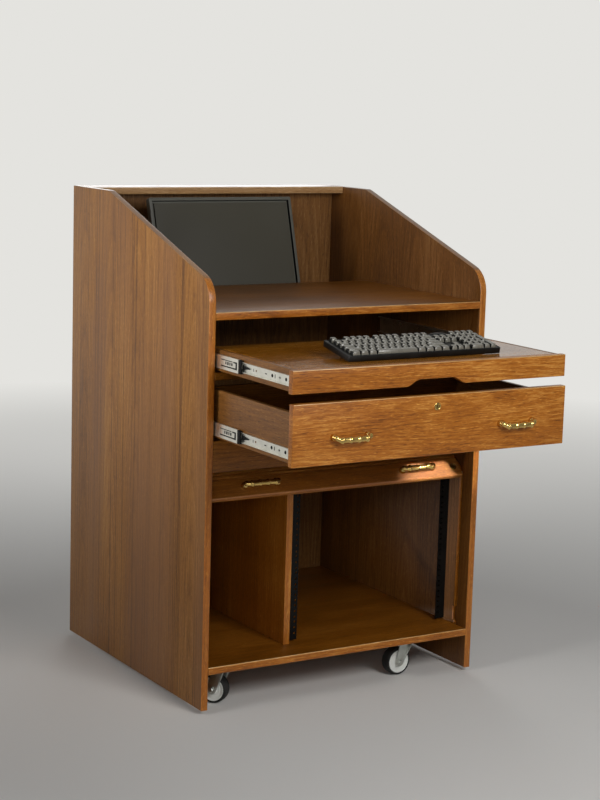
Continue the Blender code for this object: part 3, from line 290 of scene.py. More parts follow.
def moulded(name, slot, colour, roughness, dust, grit=0.8, dusty=0.10, **sockets):
    """A moulded or coated surface: a fine grained skin whose gloss and dust vary over 35 mm."""
    material, tree, shader = finish(name, slot, colour, roughness, **sockets)
    place = add(tree, "TexCoord").outputs["Object"]
    skin = add(tree, "TexNoise", {"Vector": place, "Scale": per(grit), "Detail": 2.0})
    cloud = add(tree, "TexNoise", {"Vector": place, "Scale": per(35), "Detail": 3.0})
    gloss = add(tree, "MapRange", [cloud, 0.3, 0.7, roughness - 0.06, roughness + 0.08])
    tree.links.new(gloss.outputs[0], shader.inputs["Roughness"])
    share = add(tree, "MapRange", [cloud, 0.40, 0.75, 0.0, dusty])
    tint = add(tree, "MixRGB", [share, linear(colour), linear(dust)])
    tree.links.new(tint.outputs[0], shader.inputs["Base Color"])
    relief = add(tree, "Bump", {"Height": skin, "Distance": 0.00005, "Strength": 0.4})
    tree.links.new(relief.outputs[0], shader.inputs["Normal"])
    return material


# Powder-coated steel: satin black with a faint orange peel
powder = moulded(
    "black_powder_coat", "black_powder_coat", "#0a0908", 0.50, "#3b372e", 1.6, 0.05, Specular_IOR_Level=0.15
)
# Moulded ABS: a soft spark-eroded grain
abs_case = moulded(
    "black_abs", "black_plastic", "#0b0b0a", 0.40, "#4f4b44", 0.7, 0.06, Specular_IOR_Level=0.3
)
abs_bezel = moulded(
    "charcoal_abs", "black_plastic", "#56554d", 0.40, "#6b675d", 0.7, 0.06, Specular_IOR_Level=0.35
)
# Key caps, smooth and glossy: tops and fronts in a light grey, a painted highlight on caps that are black
abs_lit_key = moulded("keycap_abs", "black_plastic", "#716e64", 0.26, "#9a968c", 0.6, 0.2)
# Their other sides: near black and duller, painted shade
abs_shaded_skirt = moulded(
    "keycap_skirt_abs", "black_plastic", "#151514", 0.45, "#3c3a36", 0.6, 0.1, Specular_IOR_Level=0.2
)
# Acetal: the slides' black levers and bumpers
acetal = moulded(
    "black_acetal", "black_plastic", "#060606", 0.45, "#2c2a26", 0.6, 0.05, Specular_IOR_Level=0.12
)
# Rubber tread: dull, dusty from the floor
rubber = moulded(
    "tread_rubber", "grey_wheel", "#1a1a19", 0.62, "#5d5b56", 1.4, 0.2, Specular_IOR_Level=0.3
)
# Polypropylene wheel centre: pale grey with a soft gloss
hub_grey = moulded("grey_polypropylene", "grey_wheel", "#e2e4de", 0.36, "#a8a79f", 1.0, 0.3)


def anti_glare_film():
    """A monitor's unlit panel under anti-glare film: dark grey, with a fine sparkle in a soft gloss."""
    material, tree, shader = finish("anti_glare_film", "screen_film", "#413e33", 0.40, Specular_IOR_Level=0.4)
    place = add(tree, "TexCoord").outputs["Object"]
    # The film's grain is 0.05 mm, drawn at 0.5 mm so that it shows
    grain = add(tree, "TexNoise", {"Vector": place, "Scale": per(0.5), "Detail": 1.0})
    cloud = add(tree, "TexNoise", {"Vector": place, "Scale": per(160), "Detail": 1.0})
    gloss = add(tree, "MapRange", [cloud, 0.3, 0.7, 0.32, 0.42])
    tree.links.new(gloss.outputs[0], shader.inputs["Roughness"])
    relief = add(tree, "Bump", {"Height": grain, "Distance": 0.00002, "Strength": 0.3})
    tree.links.new(relief.outputs[0], shader.inputs["Normal"])
    return material


film = anti_glare_film()


def dress(material, *names):
    """One material on CAD nodes."""
    for name in names:
        nodes[name].data.materials.clear()
        nodes[name].data.materials.append(material)


dress(oak_side, "left_side_panel")
dress(oak_shaded_inside, "right_side_panel", "bay_divider")
dress(oak_shaded_back, "back_panel")
dress(oak_front, "tray_front", "drawer_front")
dress(oak_shaded_flat, "tray_rail", "apron_rail", "top_cap", "desktop", "bottom_shelf", "bay_top")
dress(oak_shaded_flat, "drawer_bottom", "drawer_back")
dress(oak_tray, "tray_top")
dress(oak_box, "tray_side_left", "tray_side_right", "drawer_side_left", "drawer_side_right")
dress(oak_bar, "door_lead_bar", "door_curtain")
dress(brass, "drawer_pull_left", "drawer_pull_right", "door_pull_left", "door_pull_right")
dress(brass, "drawer_lock", "door_lock")
dress(powder, "rack_rail_left", "rack_rail_right", "monitor_arm", "monitor_bracket")
dress(abs_case, "keyboard_case")
dress(abs_lit_key, "keyboard_keys")
dress(abs_bezel, "monitor_case")
dress(film, "monitor_screen")
dress(zinc, *[n for n in nodes if "_slide_" in n], "door_guide_rod")
dress(fork_zinc, *[n for n in nodes if "caster_plate" in n or "caster_fork" in n])
dress(rubber, *[n for n in nodes if "caster_wheel" in n])


def span(node):
    """A node's lowest and highest corners."""
    low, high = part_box(node)
    return Vector(low), Vector(high)


def soften(bm, edges, ease, segments=2):
    """Edges rounded off by a small radius."""
    bmesh.ops.bevel(
        bm, geom=list(edges), offset=ease, segments=segments, profile=0.5, affect="EDGES", material=-1
    )


def block(low, high, ease=0.0, segments=2):
    """A block between two corners, with its edges rounded."""
    low, high = Vector(low), Vector(high)
    bm = bmesh.new()
    place = Matrix.Translation((low + high) / 2) @ Matrix.Diagonal((*(high - low), 1.0))
    bmesh.ops.create_cube(bm, size=1.0, matrix=place)
    if ease:
        soften(bm, bm.edges, ease, segments)
    return bm


def plate(outline, thick, ease=0.0, segments=2):
    """A plate with an outline of X and Y points, rising from z = 0, with both rims rounded."""
    bm = bmesh.new()
    face = bm.faces.new([bm.verts.new((x, y, 0)) for x, y in outline])
    grown = bmesh.ops.extrude_face_region(bm, geom=[face])["geom"]
    risen = [part for part in grown if isinstance(part, bmesh.types.BMVert)]
    bmesh.ops.translate(bm, verts=risen, vec=(0, 0, thick))
    if ease:
        level = [edge for edge in bm.edges if abs(edge.verts[0].co.z - edge.verts[1].co.z) < 1e-6]
        soften(bm, level, ease, segments)
    return bm


def lathe(profile, steps=32):
    """A profile of (radius, height) points turned once round Z. It is closed, or ends on the axis."""
    bm = bmesh.new()
    points = [bm.verts.new((radius, 0, height)) for radius, height in profile]
    for near, far in zip(points, points[1:]):
        bm.edges.new((near, far))
    bmesh.ops.spin(
        bm, geom=bm.verts[:] + bm.edges[:], cent=(0, 0, 0), axis=(0, 0, 1), angle=2 * math.pi, steps=steps,
        use_merge=True,
    )
    bmesh.ops.remove_doubles(bm, verts=bm.verts, dist=1e-6)
    return bm


def bend(centre, radius, start, end, steps=6):
    """Points on a circle from one angle to another, in degrees."""
    turns = [math.radians(start + (end - start) * k / steps) for k in range(steps + 1)]
    return [(centre[0] + radius * math.cos(t), centre[1] + radius * math.sin(t)) for t in turns]


def gather(*parts):
    """Several bmeshes as one, each kept as its own shell."""
    whole = bmesh.new()
    for part in parts:
        mesh = bpy.data.meshes.new("part")
        part.to_mesh(mesh)
        part.free()
        whole.from_mesh(mesh)
        bpy.data.meshes.remove(mesh)
    return whole


def shift(bm, place):
    """A bmesh moved by a matrix or a vector."""
    matrix = place if isinstance(place, Matrix) else Matrix.Translation(place)
    bmesh.ops.transform(bm, matrix=matrix, verts=bm.verts)
    return bm


def make(name, bm, finishes, body, place=None, stands_for=(), crease=35):
    """A finished piece: put in its place, given its finishes, and set to ride on its body."""
    if place is not None:
        shift(bm, place)
    bmesh.ops.recalc_face_normals(bm, faces=bm.faces)
    mesh = bpy.data.meshes.new(name)
    bm.to_mesh(mesh)
    bm.free()
    for material in finishes:
        mesh.materials.append(material)
    mesh.shade_smooth()
    mesh.set_sharp_from_angle(angle=math.radians(crease))
    piece = bpy.data.objects.new(name, mesh)
    scene.collection.objects.link(piece)
    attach(piece, body)
    if stands_for:
        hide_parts(*stands_for)
    return piece


SIDES = (("left", -1), ("right", 1))
OUTWARD = Matrix.Rotation(math.radians(90), 4, "X")


def eased_side(label, face):
    """A side panel with its long edges eased and its edges banded, cut from its solid."""
    name = f"{label}_side_panel"
    bm = bmesh.new()
    bm.from_mesh(nodes[name].data)
    bmesh.ops.remove_doubles(bm, verts=bm.verts, dist=1e-5)
    bmesh.ops.dissolve_limit(bm, angle_limit=math.radians(1), verts=bm.verts, edges=bm.edges)
    low, high = span(name)

    def banded(side):
        """Whether a face is one of the panel's narrow edges, from one side of the board to the other."""
        places = [v.co.x for v in side.verts]
        return abs(side.normal.x) < 0.1 and max(places) - min(places) > 0.9 * (high.x - low.x)

    rims = [e for e in bm.edges if len(e.link_faces) == 2 and sum(banded(f) for f in e.link_faces) == 1]
    soften(bm, rims, BOARD_EASE, 3)
    bm.normal_update()
    for side in bm.faces:
        side.material_index = 2 if side.normal.y < -0.5 else 1 if abs(side.normal.z) > 0.5 else 0
    make(f"{label}_side_veneer", bm, [face, oak_edge, oak_lip], "cabinet", None, [name])


eased_side("left", oak_side)
eased_side("right", oak_shaded_inside)


def bored(bm, tool):
    """A bmesh with the shape of another cut out of it."""
    holders = []
    for part in (bm, tool):
        bmesh.ops.recalc_face_normals(part, faces=part.faces)
        mesh = bpy.data.meshes.new("bored")
        part.to_mesh(mesh)
        part.free()
        holders.append(bpy.data.objects.new("bored", mesh))
        scene.collection.objects.link(holders[-1])
    holders[0].modifiers.new("bore", "BOOLEAN").object = holders[1]
    mesh = bpy.data.meshes.new_from_object(holders[0].evaluated_get(bpy.context.evaluated_depsgraph_get()))
    whole = bmesh.new()
    whole.from_mesh(mesh)
    bpy.data.meshes.remove(mesh)
    for holder in holders:
        bpy.data.objects.remove(holder)
    return whole


def arris(side):
    """Whether a face is on the eased edge between a board's front and its top."""
    return side.normal.y < -0.25 and side.normal.z > 0.25


def veneered(name, material, body="cabinet", along="X", band=None):
    """A board in place of its solid, with the edges that run along one axis softened and its front banded."""
    low, high = span(name)
    bm = block(low, high)
    axis = "XYZ".index(along)
    runs = [e for e in bm.edges if abs(e.verts[0].co[axis] - e.verts[1].co[axis]) > 1e-4]
    soften(bm, runs, BOARD_EASE, 3)
    bm.normal_update()
    for side in bm.faces:
        # The eased top front edge takes the painted highlight
        side.material_index = 2 if band and arris(side) else 1 if band and side.normal.y < -0.3 else 0
    make(f"{name}_veneer", bm, [material, band, oak_arris_highlight] if band else [material], body, None, [name])


veneered("top_cap", oak_shaded_flat, band=oak_sheen_cap)
veneered("desktop", oak_shaded_flat, band=oak_front)
veneered("bottom_shelf", oak_shaded_flat, band=oak_front)
veneered("apron_rail", oak_shaded_flat)
veneered("bay_divider", oak_lip, "cabinet", "Z", oak_lip)
for label, _ in SIDES:
    veneered(f"tray_side_{label}", oak_box, "keyboard_tray", "Y")
    veneered(f"drawer_side_{label}", oak_box, "drawer", "Y")
veneered("drawer_back", oak_shaded_flat, "drawer")


def fronts():
    """The drawer's bored front, and the tray's front with the finger notch in its lower edge."""
    low, high = span("drawer_front")
    hole = lathe([(0, -0.05), (LOCK_RADIUS + FIT, -0.05), (LOCK_RADIUS + FIT, 0.05), (0, 0.05)], 32)
    shift(hole, Matrix.Translation(joints["drawer_lock_turn"]["pos_m"]) @ OUTWARD)
    bm = bored(block(low, high, BOARD_EASE, 3), hole)
    bm.normal_update()
    for side in bm.faces:
        # The eased top front edge takes the painted highlight
        side.material_index = 1 if arris(side) else 0
    make("drawer_front_veneer", bm, [oak_front, oak_arris_highlight], "drawer", None, ["drawer_front"])
    low, high = span("tray_front")
    run = (NOTCH_BOTTOM - NOTCH_TOP) / 2
    shares = [k / 14 for k in range(15)]
    shoulder = [(run * t - NOTCH_BOTTOM / 2, NOTCH_HEIGHT * t * t * (3 - 2 * t)) for t in shares]
    shoulder += [(-x, z) for x, z in reversed(shoulder)]
    tall = high.z - low.z
    notch = [(x + NOTCH_SHIFT, z) for x, z in shoulder]
    outline = [(low.x, 0), *notch, (high.x, 0), (high.x, tall), (low.x, tall)]
    place = Matrix.Translation((0, high.y, low.z)) @ OUTWARD
    bm = shift(plate(outline, high.y - low.y, BOARD_EASE, 3), place)
    bmesh.ops.recalc_face_normals(bm, faces=bm.faces)
    for side in bm.faces:
        # The upper eased front edge takes the painted highlight
        side.material_index = 1 if arris(side) and side.calc_center_median().z > (low.z + high.z) / 2 else 0
    make("tray_front_veneer", bm, [oak_front, oak_arris_highlight], "keyboard_tray", None, ["tray_front"])


fronts()


def bow(half):
    """A cast bow pull along X, on feet at z = 0, with a beaded grip that hangs a little below the feet.

    Share is the way from the middle, 0, to a foot, 1. The radius is in shares of PULL_GRIP."""
    curve = bpy.data.curves.new("bow", "CURVE")
    curve.dimensions = "3D"
    curve.bevel_depth = PULL_GRIP
    curve.bevel_resolution = 6
    curve.use_fill_caps = True
    stations = 140
    spline = curve.splines.new("POLY")
    spline.points.add(stations)
    for k, point in enumerate(spline.points):
        along = -1 + 2 * k / stations
        swing = math.pi / 2 * along
        share = min(1.0, 1.01 * abs(math.sin(swing)) ** 0.9)
        rise = math.cos(swing) ** 0.24 if abs(along) < 1 else 0.0
        foot = 0.25 * math.exp(-((1 - abs(along)) / 0.06) ** 2)
        neck = -0.10 * math.exp(-((share - 0.90) / 0.07) ** 2)
        shoulder = 0.30 * math.exp(-((share - 0.72) / 0.070) ** 2)
        bead = 0.20 * math.exp(-((share - 0.24) / 0.075) ** 2)
        point.co = (math.copysign(half * share, along), -PULL_DROP * (1 - share ** 9), PULL_REACH * rise, 1)
        point.radius = 0.80 + foot + neck + shoulder + bead
    holder = bpy.data.objects.new("bow", curve)
    scene.collection.objects.link(holder)
    mesh = bpy.data.meshes.new_from_object(holder.evaluated_get(bpy.context.evaluated_depsgraph_get()))
    bm = bmesh.new()
    bm.from_mesh(mesh)
    bmesh.ops.remove_doubles(bm, verts=bm.verts, dist=1e-6)
    bpy.data.objects.remove(holder)
    bpy.data.meshes.remove(mesh)
    foot = [(0, 0.0026), (0.0070, 0.0026), (0.0082, 0.0022), (0.0090, 0.0012), (0.0092, 0.0), (0, 0)]
    feet = [shift(lathe(foot, 28), (side * half, 0, 0)) for side in (-1, 1)]
    return gather(bm, *feet)


rod = Vector(joints["door_tilt"]["pos_m"])
BAR = Matrix.Translation(rod) @ Matrix.Rotation(-math.pi / 4, 4, "X")


def pulls():
    """The four pulls, two on the drawer's front and two on the door's lead bar."""
    front = span("drawer_front")[0].y
    for label, _ in SIDES:
        name = f"drawer_pull_{label}"
        low, high = span(name)
        half = (high.x - low.x) / 2 - 0.009
        middle = (low + high) / 2
        place = Matrix.Translation((middle.x, front, middle.z + DRAWER_PULL_LIFT)) @ OUTWARD
        make(f"{name}_cast", bow(half), [brass], "drawer", place, [name])
        name = f"door_pull_{label}"
        low, high = span(name)
        spot = ((low.x + high.x) / 2, -BAR_FRONT, BAR_HEIGHT / 2 - ROD_RISE + DOOR_PULL_LIFT)
        place = BAR @ Matrix.Translation(spot) @ OUTWARD
        make(f"{name}_cast", bow(half), [brass], "door_bar", place, [name])


pulls()


def lock_bezel(name, body, place):
    """The turned brass ring round a lock's plug, and a black block in the plug's keyway: painted shade for
    its depth.
    """
    ring = LOCK_RADIUS + FIT
    middle = (LOCK_BEZEL + ring) / 2
    crown = bend((middle, 0.0010), LOCK_BEZEL - middle, 180, 0, 8)
    profile = [(ring, 0), *crown, (LOCK_BEZEL, 0), (ring, 0)]
    make(f"{name}_bezel", lathe(profile, 40), [brass], body, place)
    # A black block set in the keyway: painted shade
    keyway = block((-0.00075, -0.0034, -0.0036), (0.00075, 0.0034, -0.0030), 0.0002, 1)
    make(f"{name}_keyway", keyway, [acetal], name, place)


spot = Matrix.Translation(joints["drawer_lock_turn"]["pos_m"])
lock_bezel("drawer_lock", "drawer", spot @ OUTWARD)
spot = Matrix.Translation(joints["door_lock_turn"]["pos_m"])
lock_bezel("door_lock", "door_bar", spot @ Matrix.Rotation(-math.pi / 4, 4, "X") @ OUTWARD)


def screw(radius, rise):
    """A pan-head screw that stands on z = 0, with a dark cross on its crown: painted shade for its cross
    recess.
    """
    profile = [(0, rise), (0.45 * radius, 0.96 * rise), (0.8 * radius, 0.72 * rise), (radius, 0.2 * rise)]
    head = lathe(profile + [(radius, 0), (0, 0)], 20)
    arm, wide = 0.5 * radius, 0.11 * radius
    cross = gather(
        block((-arm, -wide, 0.5 * rise), (arm, wide, 1.03 * rise)),
        block((-wide, -arm, 0.5 * rise), (wide, arm, 1.03 * rise)),
    )
    # The cross takes the dark finish: painted shade for the recess
    for side in cross.faces:
        side.material_index = 1
    return gather(head, cross)


def slide_trim(prefix, moving, label, side):
    """One slide's plastic and small steel: bumper, release lever and screws, and dark sheets of painted shade
    for its stamped window and marks.
    """
    low, high = span(f"{prefix}_slide_middle_{label}")
    web = low.x if side < 0 else high.x
    front = low.y
    inner_low, inner_high = span(f"{prefix}_slide_inner_{label}")
    level = (inner_low.z + inner_high.z) / 2
    floor = (inner_high.x if side < 0 else inner_low.x) + side * SLIDE_STEEL
    middles = f"{prefix}_slide_middles"
    tag = f"{prefix}_slide"
    tall = SLIDE_MIDDLE_HEIGHT / 2 - 0.0004

    def across(near, far):
        """Two places along X in rising order."""
        return min(near, far), max(near, far)

    # The collar that holds the balls: two lobes with a waist, and a lip over the ball rows above and below
    stand = Matrix(((0, 0, side, 0), (1, 0, 0, 0), (0, 1, 0, 0), (0, 0, 0, 1)))
    lobes = bend((0, 0.0092), 0.0074, -48, 228, 10) + bend((0, -0.0092), 0.0074, 132, 408, 10)
    place = Matrix.Translation((web - side * 0.0021, front - 0.0085, level)) @ stand
    collar = [shift(plate(lobes, 0.0021, 0.0005), place)]
    x0, x1 = across(web, web - side * 0.0064)
    for sign in (-1, 1):
        z0, z1 = across(level + sign * tall, level + sign * (tall - 0.0028))
        collar.append(block((x0, front - 0.014, z0), (x1, front - FIT, z1), 0.0007))
    make(f"{tag}_bumper_{label}", gather(*collar), [acetal], middles)

    # The lever lies in the inner channel: YZ outline, turned so that its plate rises along X
    outline = [(0.006, -0.0056), (0.006, 0.0056), (-0.006, 0.0036), *bend((-0.024, 0), 0.0014, 60, 300, 6)]
    outline.append((-0.006, -0.0036))
    lever = plate(outline, 0.0034, 0.0007)
    place = Matrix.Translation((floor + side * FIT, front - 0.020, level)) @ stand
    make(f"{tag}_lever_{label}", lever, [acetal], moving, place)

    # Dark sheets on the middle member's web, painted shade for the shapes stamped through it, each from one
    # corner
    # to the other in Y and Z: a catch's bracket, its two long slits and its windows
    x0, x1 = across(web - side * 0.0002, web + side * 0.00012)
    stamped = (
        (0.006, -0.0100, 0.013, 0.0090), (0.0125, -0.0098, 0.024, -0.0062), (0.0125, 0.0054, 0.024, 0.0088),
        (0.024, -0.0094, 0.085, -0.0064), (0.028, 0.0064, 0.085, 0.0084), (0.028, -0.0028, 0.034, 0.0044),
        (0.038, -0.0028, 0.043, 0.0044), (0.047, -0.0032, 0.054, 0.0044), (0.058, -0.0028, 0.063, 0.0044),
    )
    window = []
    for y0, z0, y1, z1 in stamped:
        window.append(block((x0, front + y0, level + z0), (x1, front + y1, level + z1)))
    make(f"{tag}_window_{label}", gather(*window), [acetal], middles)

    # Black screws in the inner member's holes, and dark blocks between them: painted shade for the slots and
    # crosses stamped there
    turn = Matrix.Rotation(side * math.pi / 2, 4, "Y")
    heads = []
    for along in SLIDE_SCREWS:
        hole = Matrix.Translation((floor, inner_low.y + along, level)) @ turn
        heads.append(shift(screw(0.0043, 0.0012), hole))
    make(f"{tag}_screws_{label}", gather(*heads), [acetal, powder], moving)
    x0, x1 = across(floor - side * 0.0002, floor + side * 0.00012)
    stamped = (
        (0.076, 0.0014, 0.0046), (0.054, 0.0040, 0.0010), (0.054, 0.0011, 0.0034), (0.118, 0.0042, 0.0012),
        (0.176, 0.0012, 0.0034), (0.010, 0.0012, 0.0012),
    )
    marks = []
    for along, deep, tall in stamped:
        y = inner_low.y + along
        marks.append(block((x0, y - deep, level - tall), (x1, y + deep, level + tall)))
    make(f"{tag}_marks_{label}", gather(*marks), [acetal], moving)


for label, side in SIDES:
    slide_trim("tray", "keyboard_tray", label, side)
    slide_trim("drawer", "drawer", label, side)


def key_places():
    """Each key's column, row, width and depth in key pitches, from the front left corner of the keys."""
    rows = (
        (1.25, 1.25, 1.25, 6.25, 1.25, 1.25, 1.25, 1.25),
        (2.25, *[1] * 10, 2.75),
        (1.75, *[1] * 11, 2.25),
        (1.5, *[1] * 12, 1.5),
        (*[1] * 13, 2),
    )
    for row, widths in enumerate(rows):
        column = 0
        for wide in widths:
            yield column, row, wide, 1
            column += wide
    for column in (0, 2, 3, 4, 5, 6.5, 7.5, 8.5, 9.5, 11, 12, 13, 14, 18.5, 19.5, 20.5, 21.5):
        yield column, 5.15, 1, 1
    for step in range(3):
        for row in (0, 3, 4):
            yield 15.25 + step, row, 1, 1
        for row in range(1, 5):
            yield 18.5 + step, row, 1, 1
    yield 16.25, 1, 1, 1
    yield 18.5, 0, 2, 1
    yield 20.5, 0, 1, 1
    for row, deep in ((0, 2), (2, 2), (4, 1)):
        yield 21.5, row, 1, deep


def key_cap(corner, wide, deep):
    """One moulded cap: drawn in towards its top, with soft edges and a shallow dish."""
    gap, draw, tall = 0.0009, 0.0026, KEY_TALL + 0.0012
    low = (corner[0] + gap, corner[1] + gap, 0.0)
    cap = block(low, (corner[0] + wide - gap, corner[1] + deep - gap, tall))
    middle = Vector((corner[0] + wide / 2, corner[1] + deep / 2 + 0.0004, 0))
    crown = [v for v in cap.verts if v.co.z > tall / 2]
    for v in crown:
        v.co.x -= math.copysign(draw, v.co.x - middle.x)
        v.co.y -= math.copysign(draw, v.co.y - middle.y)
    soften(cap, cap.edges, 0.0009, 1)
    top = max(cap.faces, key=lambda face: face.calc_center_median().z)
    bmesh.ops.inset_region(cap, faces=[top], thickness=0.0028, depth=-0.0005)
    cap.normal_update()
    for side in cap.faces:
        # Tops and fronts take the painted highlight, every other face the painted shade
        side.material_index = 0 if side.normal.z > 0.5 or side.normal.y < -0.6 else 1
    return cap


def keyboard():
    """The keyboard on its flip feet: a slab with a raised rim, and its caps."""
    case_low, case_high = span("keyboard_case")
    front = span("tray_front")[0].y + KEYBOARD_SETBACK
    spot = ((case_low.x + case_high.x) / 2, front, span("tray_top")[1].z + FIT)
    place = Matrix.Translation(spot) @ Matrix.Rotation(KEYBOARD_TILT, 4, "X")
    half = KEYBOARD_WIDTH / 2
    slab = block((-half, 0, 0), (half, KEYBOARD_DEPTH, KEYBOARD_THICK))
    upright = [e for e in slab.edges if abs(e.verts[0].co.z - e.verts[1].co.z) > KEYBOARD_THICK / 2]
    soften(slab, upright, 0.005, 4)
    soften(slab, [e for e in slab.edges if e.calc_face_angle(0) > 1.0], 0.0016, 2)
    top = max(slab.faces, key=lambda face: face.calc_center_median().z)
    bmesh.ops.inset_region(slab, faces=[top], thickness=0.0012, depth=0.0)
    bmesh.ops.inset_region(slab, faces=[top], thickness=0.0006, depth=-0.0012)
    fall = math.tan(KEYBOARD_TILT)
    parts = [slab]
    for side in (-1, 1):
        back, middle = KEYBOARD_DEPTH - 0.010, side * 0.165
        fore = back - 0.005
        outline = [(fore, 0.001), (back, 0.001), (back, -back * fall), (fore, -fore * fall)]
        foot = plate(outline, 0.024, 0.0006)
        turn = Matrix(((0, 0, 1, middle - 0.012), (1, 0, 0, 0), (0, 1, 0, 0), (0, 0, 0, 1)))
        parts.append(shift(foot, turn))
    left = -22.5 * KEY_PITCH / 2
    first = (KEYBOARD_DEPTH - 6.15 * KEY_PITCH) / 2
    # The hump over the status lights, an oval behind the middle keys
    hump = lathe([(0, 1.0), (0.45, 0.97), (0.72, 0.82), (0.90, 0.52), (0.98, 0.2), (1.0, 0.0), (0, 0)], 36)
    spot = (left + 16.75 * KEY_PITCH, first + 5.65 * KEY_PITCH, KEYBOARD_THICK - 0.0014)
    parts.append(shift(hump, Matrix.Translation(spot) @ Matrix.Diagonal((0.031, 0.0092, 0.0085, 1.0))))
    make("keyboard_slab", gather(*parts), [abs_case], "keyboard_tray", place, ["keyboard_case"])
    caps = []
    for column, row, wide, deep in key_places():
        corner = (left + column * KEY_PITCH, first + row * KEY_PITCH)
        cap = key_cap(corner, wide * KEY_PITCH, deep * KEY_PITCH)
        caps.append(shift(cap, (0, 0, KEYBOARD_THICK - 0.0012)))
    make("keyboard_caps", gather(*caps), [abs_lit_key, abs_shaded_skirt], "keyboard_tray", place, ["keyboard_keys"], 50)


keyboard()


def monitor():
    """The monitor's housing: a slim bezel with a dark lip round the screen, and a vented back."""
    place = Matrix.Translation(joints["monitor_tilt"]["pos_m"]) @ Matrix.Rotation(-MONITOR_TILT, 4, "X")
    wide, tall = (size / 2 for size in MONITOR_SIZE)
    rim = MONITOR_FRONT + MONITOR_RIM
    shell = block((-wide, MONITOR_FRONT, -tall), (wide, rim, tall))
    front = min(shell.faces, key=lambda face: face.calc_center_median().y)
    bmesh.ops.inset_region(shell, faces=[front], thickness=MONITOR_BEZEL - 0.0026, depth=0.0)
    lip = bmesh.ops.inset_region(shell, faces=[front], thickness=0.0012, depth=-0.0018)["faces"]
    well = bmesh.ops.inset_region(shell, faces=[front], thickness=0.0001, depth=-0.0070)["faces"]
    for side in (*lip, *well):
        side.material_index = 1
    soften(shell, [e for e in shell.edges if abs(e.verts[0].co.y - e.verts[1].co.y) > 0.01], 0.006, 4)
    outline = []
    for edge in shell.edges:
        outside = all(max(abs(v.co.x) - wide, abs(v.co.z) - tall) > -0.007 for v in edge.verts)
        if outside and edge.calc_face_angle(0) > 1.0:
            outline.append(edge)
    soften(shell, outline, 0.0014, 2)
    hump = block(
        (MONITOR_SHOULDER - wide, rim - 0.002, MONITOR_SHOULDER - tall),
        (wide - MONITOR_SHOULDER, rim + MONITOR_BULGE, tall - MONITOR_SHOULDER),
    )
    for v in hump.verts:
        if v.co.y > rim:
            v.co.x -= math.copysign(MONITOR_BULGE, v.co.x)
            v.co.z -= math.copysign(MONITOR_BULGE, v.co.z)
    soften(hump, [e for e in hump.edges if min(v.co.y for v in e.verts) > rim], 0.004, 3)
    shell = gather(shell, hump)
    make("monitor_housing", shell, [abs_bezel, acetal], "monitor", place, ["monitor_case"])
    behind = rim + MONITOR_BULGE
    # Black slivers on the back for the vent slots: painted shade for the openings
    vents = []
    for row in (-1, 1):
        for k in range(22):
            x = (k - 10.5) * 0.0105
            z = row * 0.0665
            low = (x - 0.0014, behind - 0.0004, z - 0.0055)
            high = (x + 0.0014, behind + 0.0001, z + 0.0055)
            vents.append(block(low, high))
    make("monitor_vents", gather(*vents), [acetal], "monitor", place)
    heads = []
    for x in (-0.0375, 0.0375):
        for z in (-0.0375, 0.0375):
            spot = Matrix.Translation((x, behind + FIT + 0.003, z)) @ Matrix.Rotation(-math.pi / 2, 4, "X")
            heads.append(shift(screw(0.0042, 0.0022), spot))
    make("monitor_bracket_screws", gather(*heads), [powder, acetal], "monitor", place)


monitor()


def tyre():
    """A caster's rubber tread, crowned, with a shoulder on each side."""
    half = WHEEL_WIDTH / 2
    r = WHEEL_RADIUS
    right = [
        (WHEEL_HUB - 0.0010, half - 0.0012), (WHEEL_HUB + 0.0008, half - 0.0004), (r - 0.0030, half - 0.0006),
        (r - 0.0014, half - 0.0024), (r - 0.0004, half - 0.0060), (r, half - 0.0110),
    ]
    left = [(radius, -height) for radius, height in reversed(right)]
    return lathe(right + left + right[:1], 56)


def hub():
    """The wheel's pale centre: a boss, a dished web with turned rings, and a rim under the tread."""
    half = WHEEL_WIDTH / 2
    face = [
        (0.0053, half - 0.0002), (0.0105, half - 0.0002), (0.0118, half - 0.0012), (0.0124, half - 0.0034),
        (0.0185, half - 0.0042), (0.0192, half - 0.0034), (0.0206, half - 0.0034), (0.0213, half - 0.0042),
        (0.0272, half - 0.0038), (0.0284, half - 0.0016), (0.0300, half - 0.0008),
        (WHEEL_HUB - 0.0012, half - 0.0012),
    ]
    back = [(radius, -height) for radius, height in reversed(face)]
    return lathe(face + back + face[:1], 56)


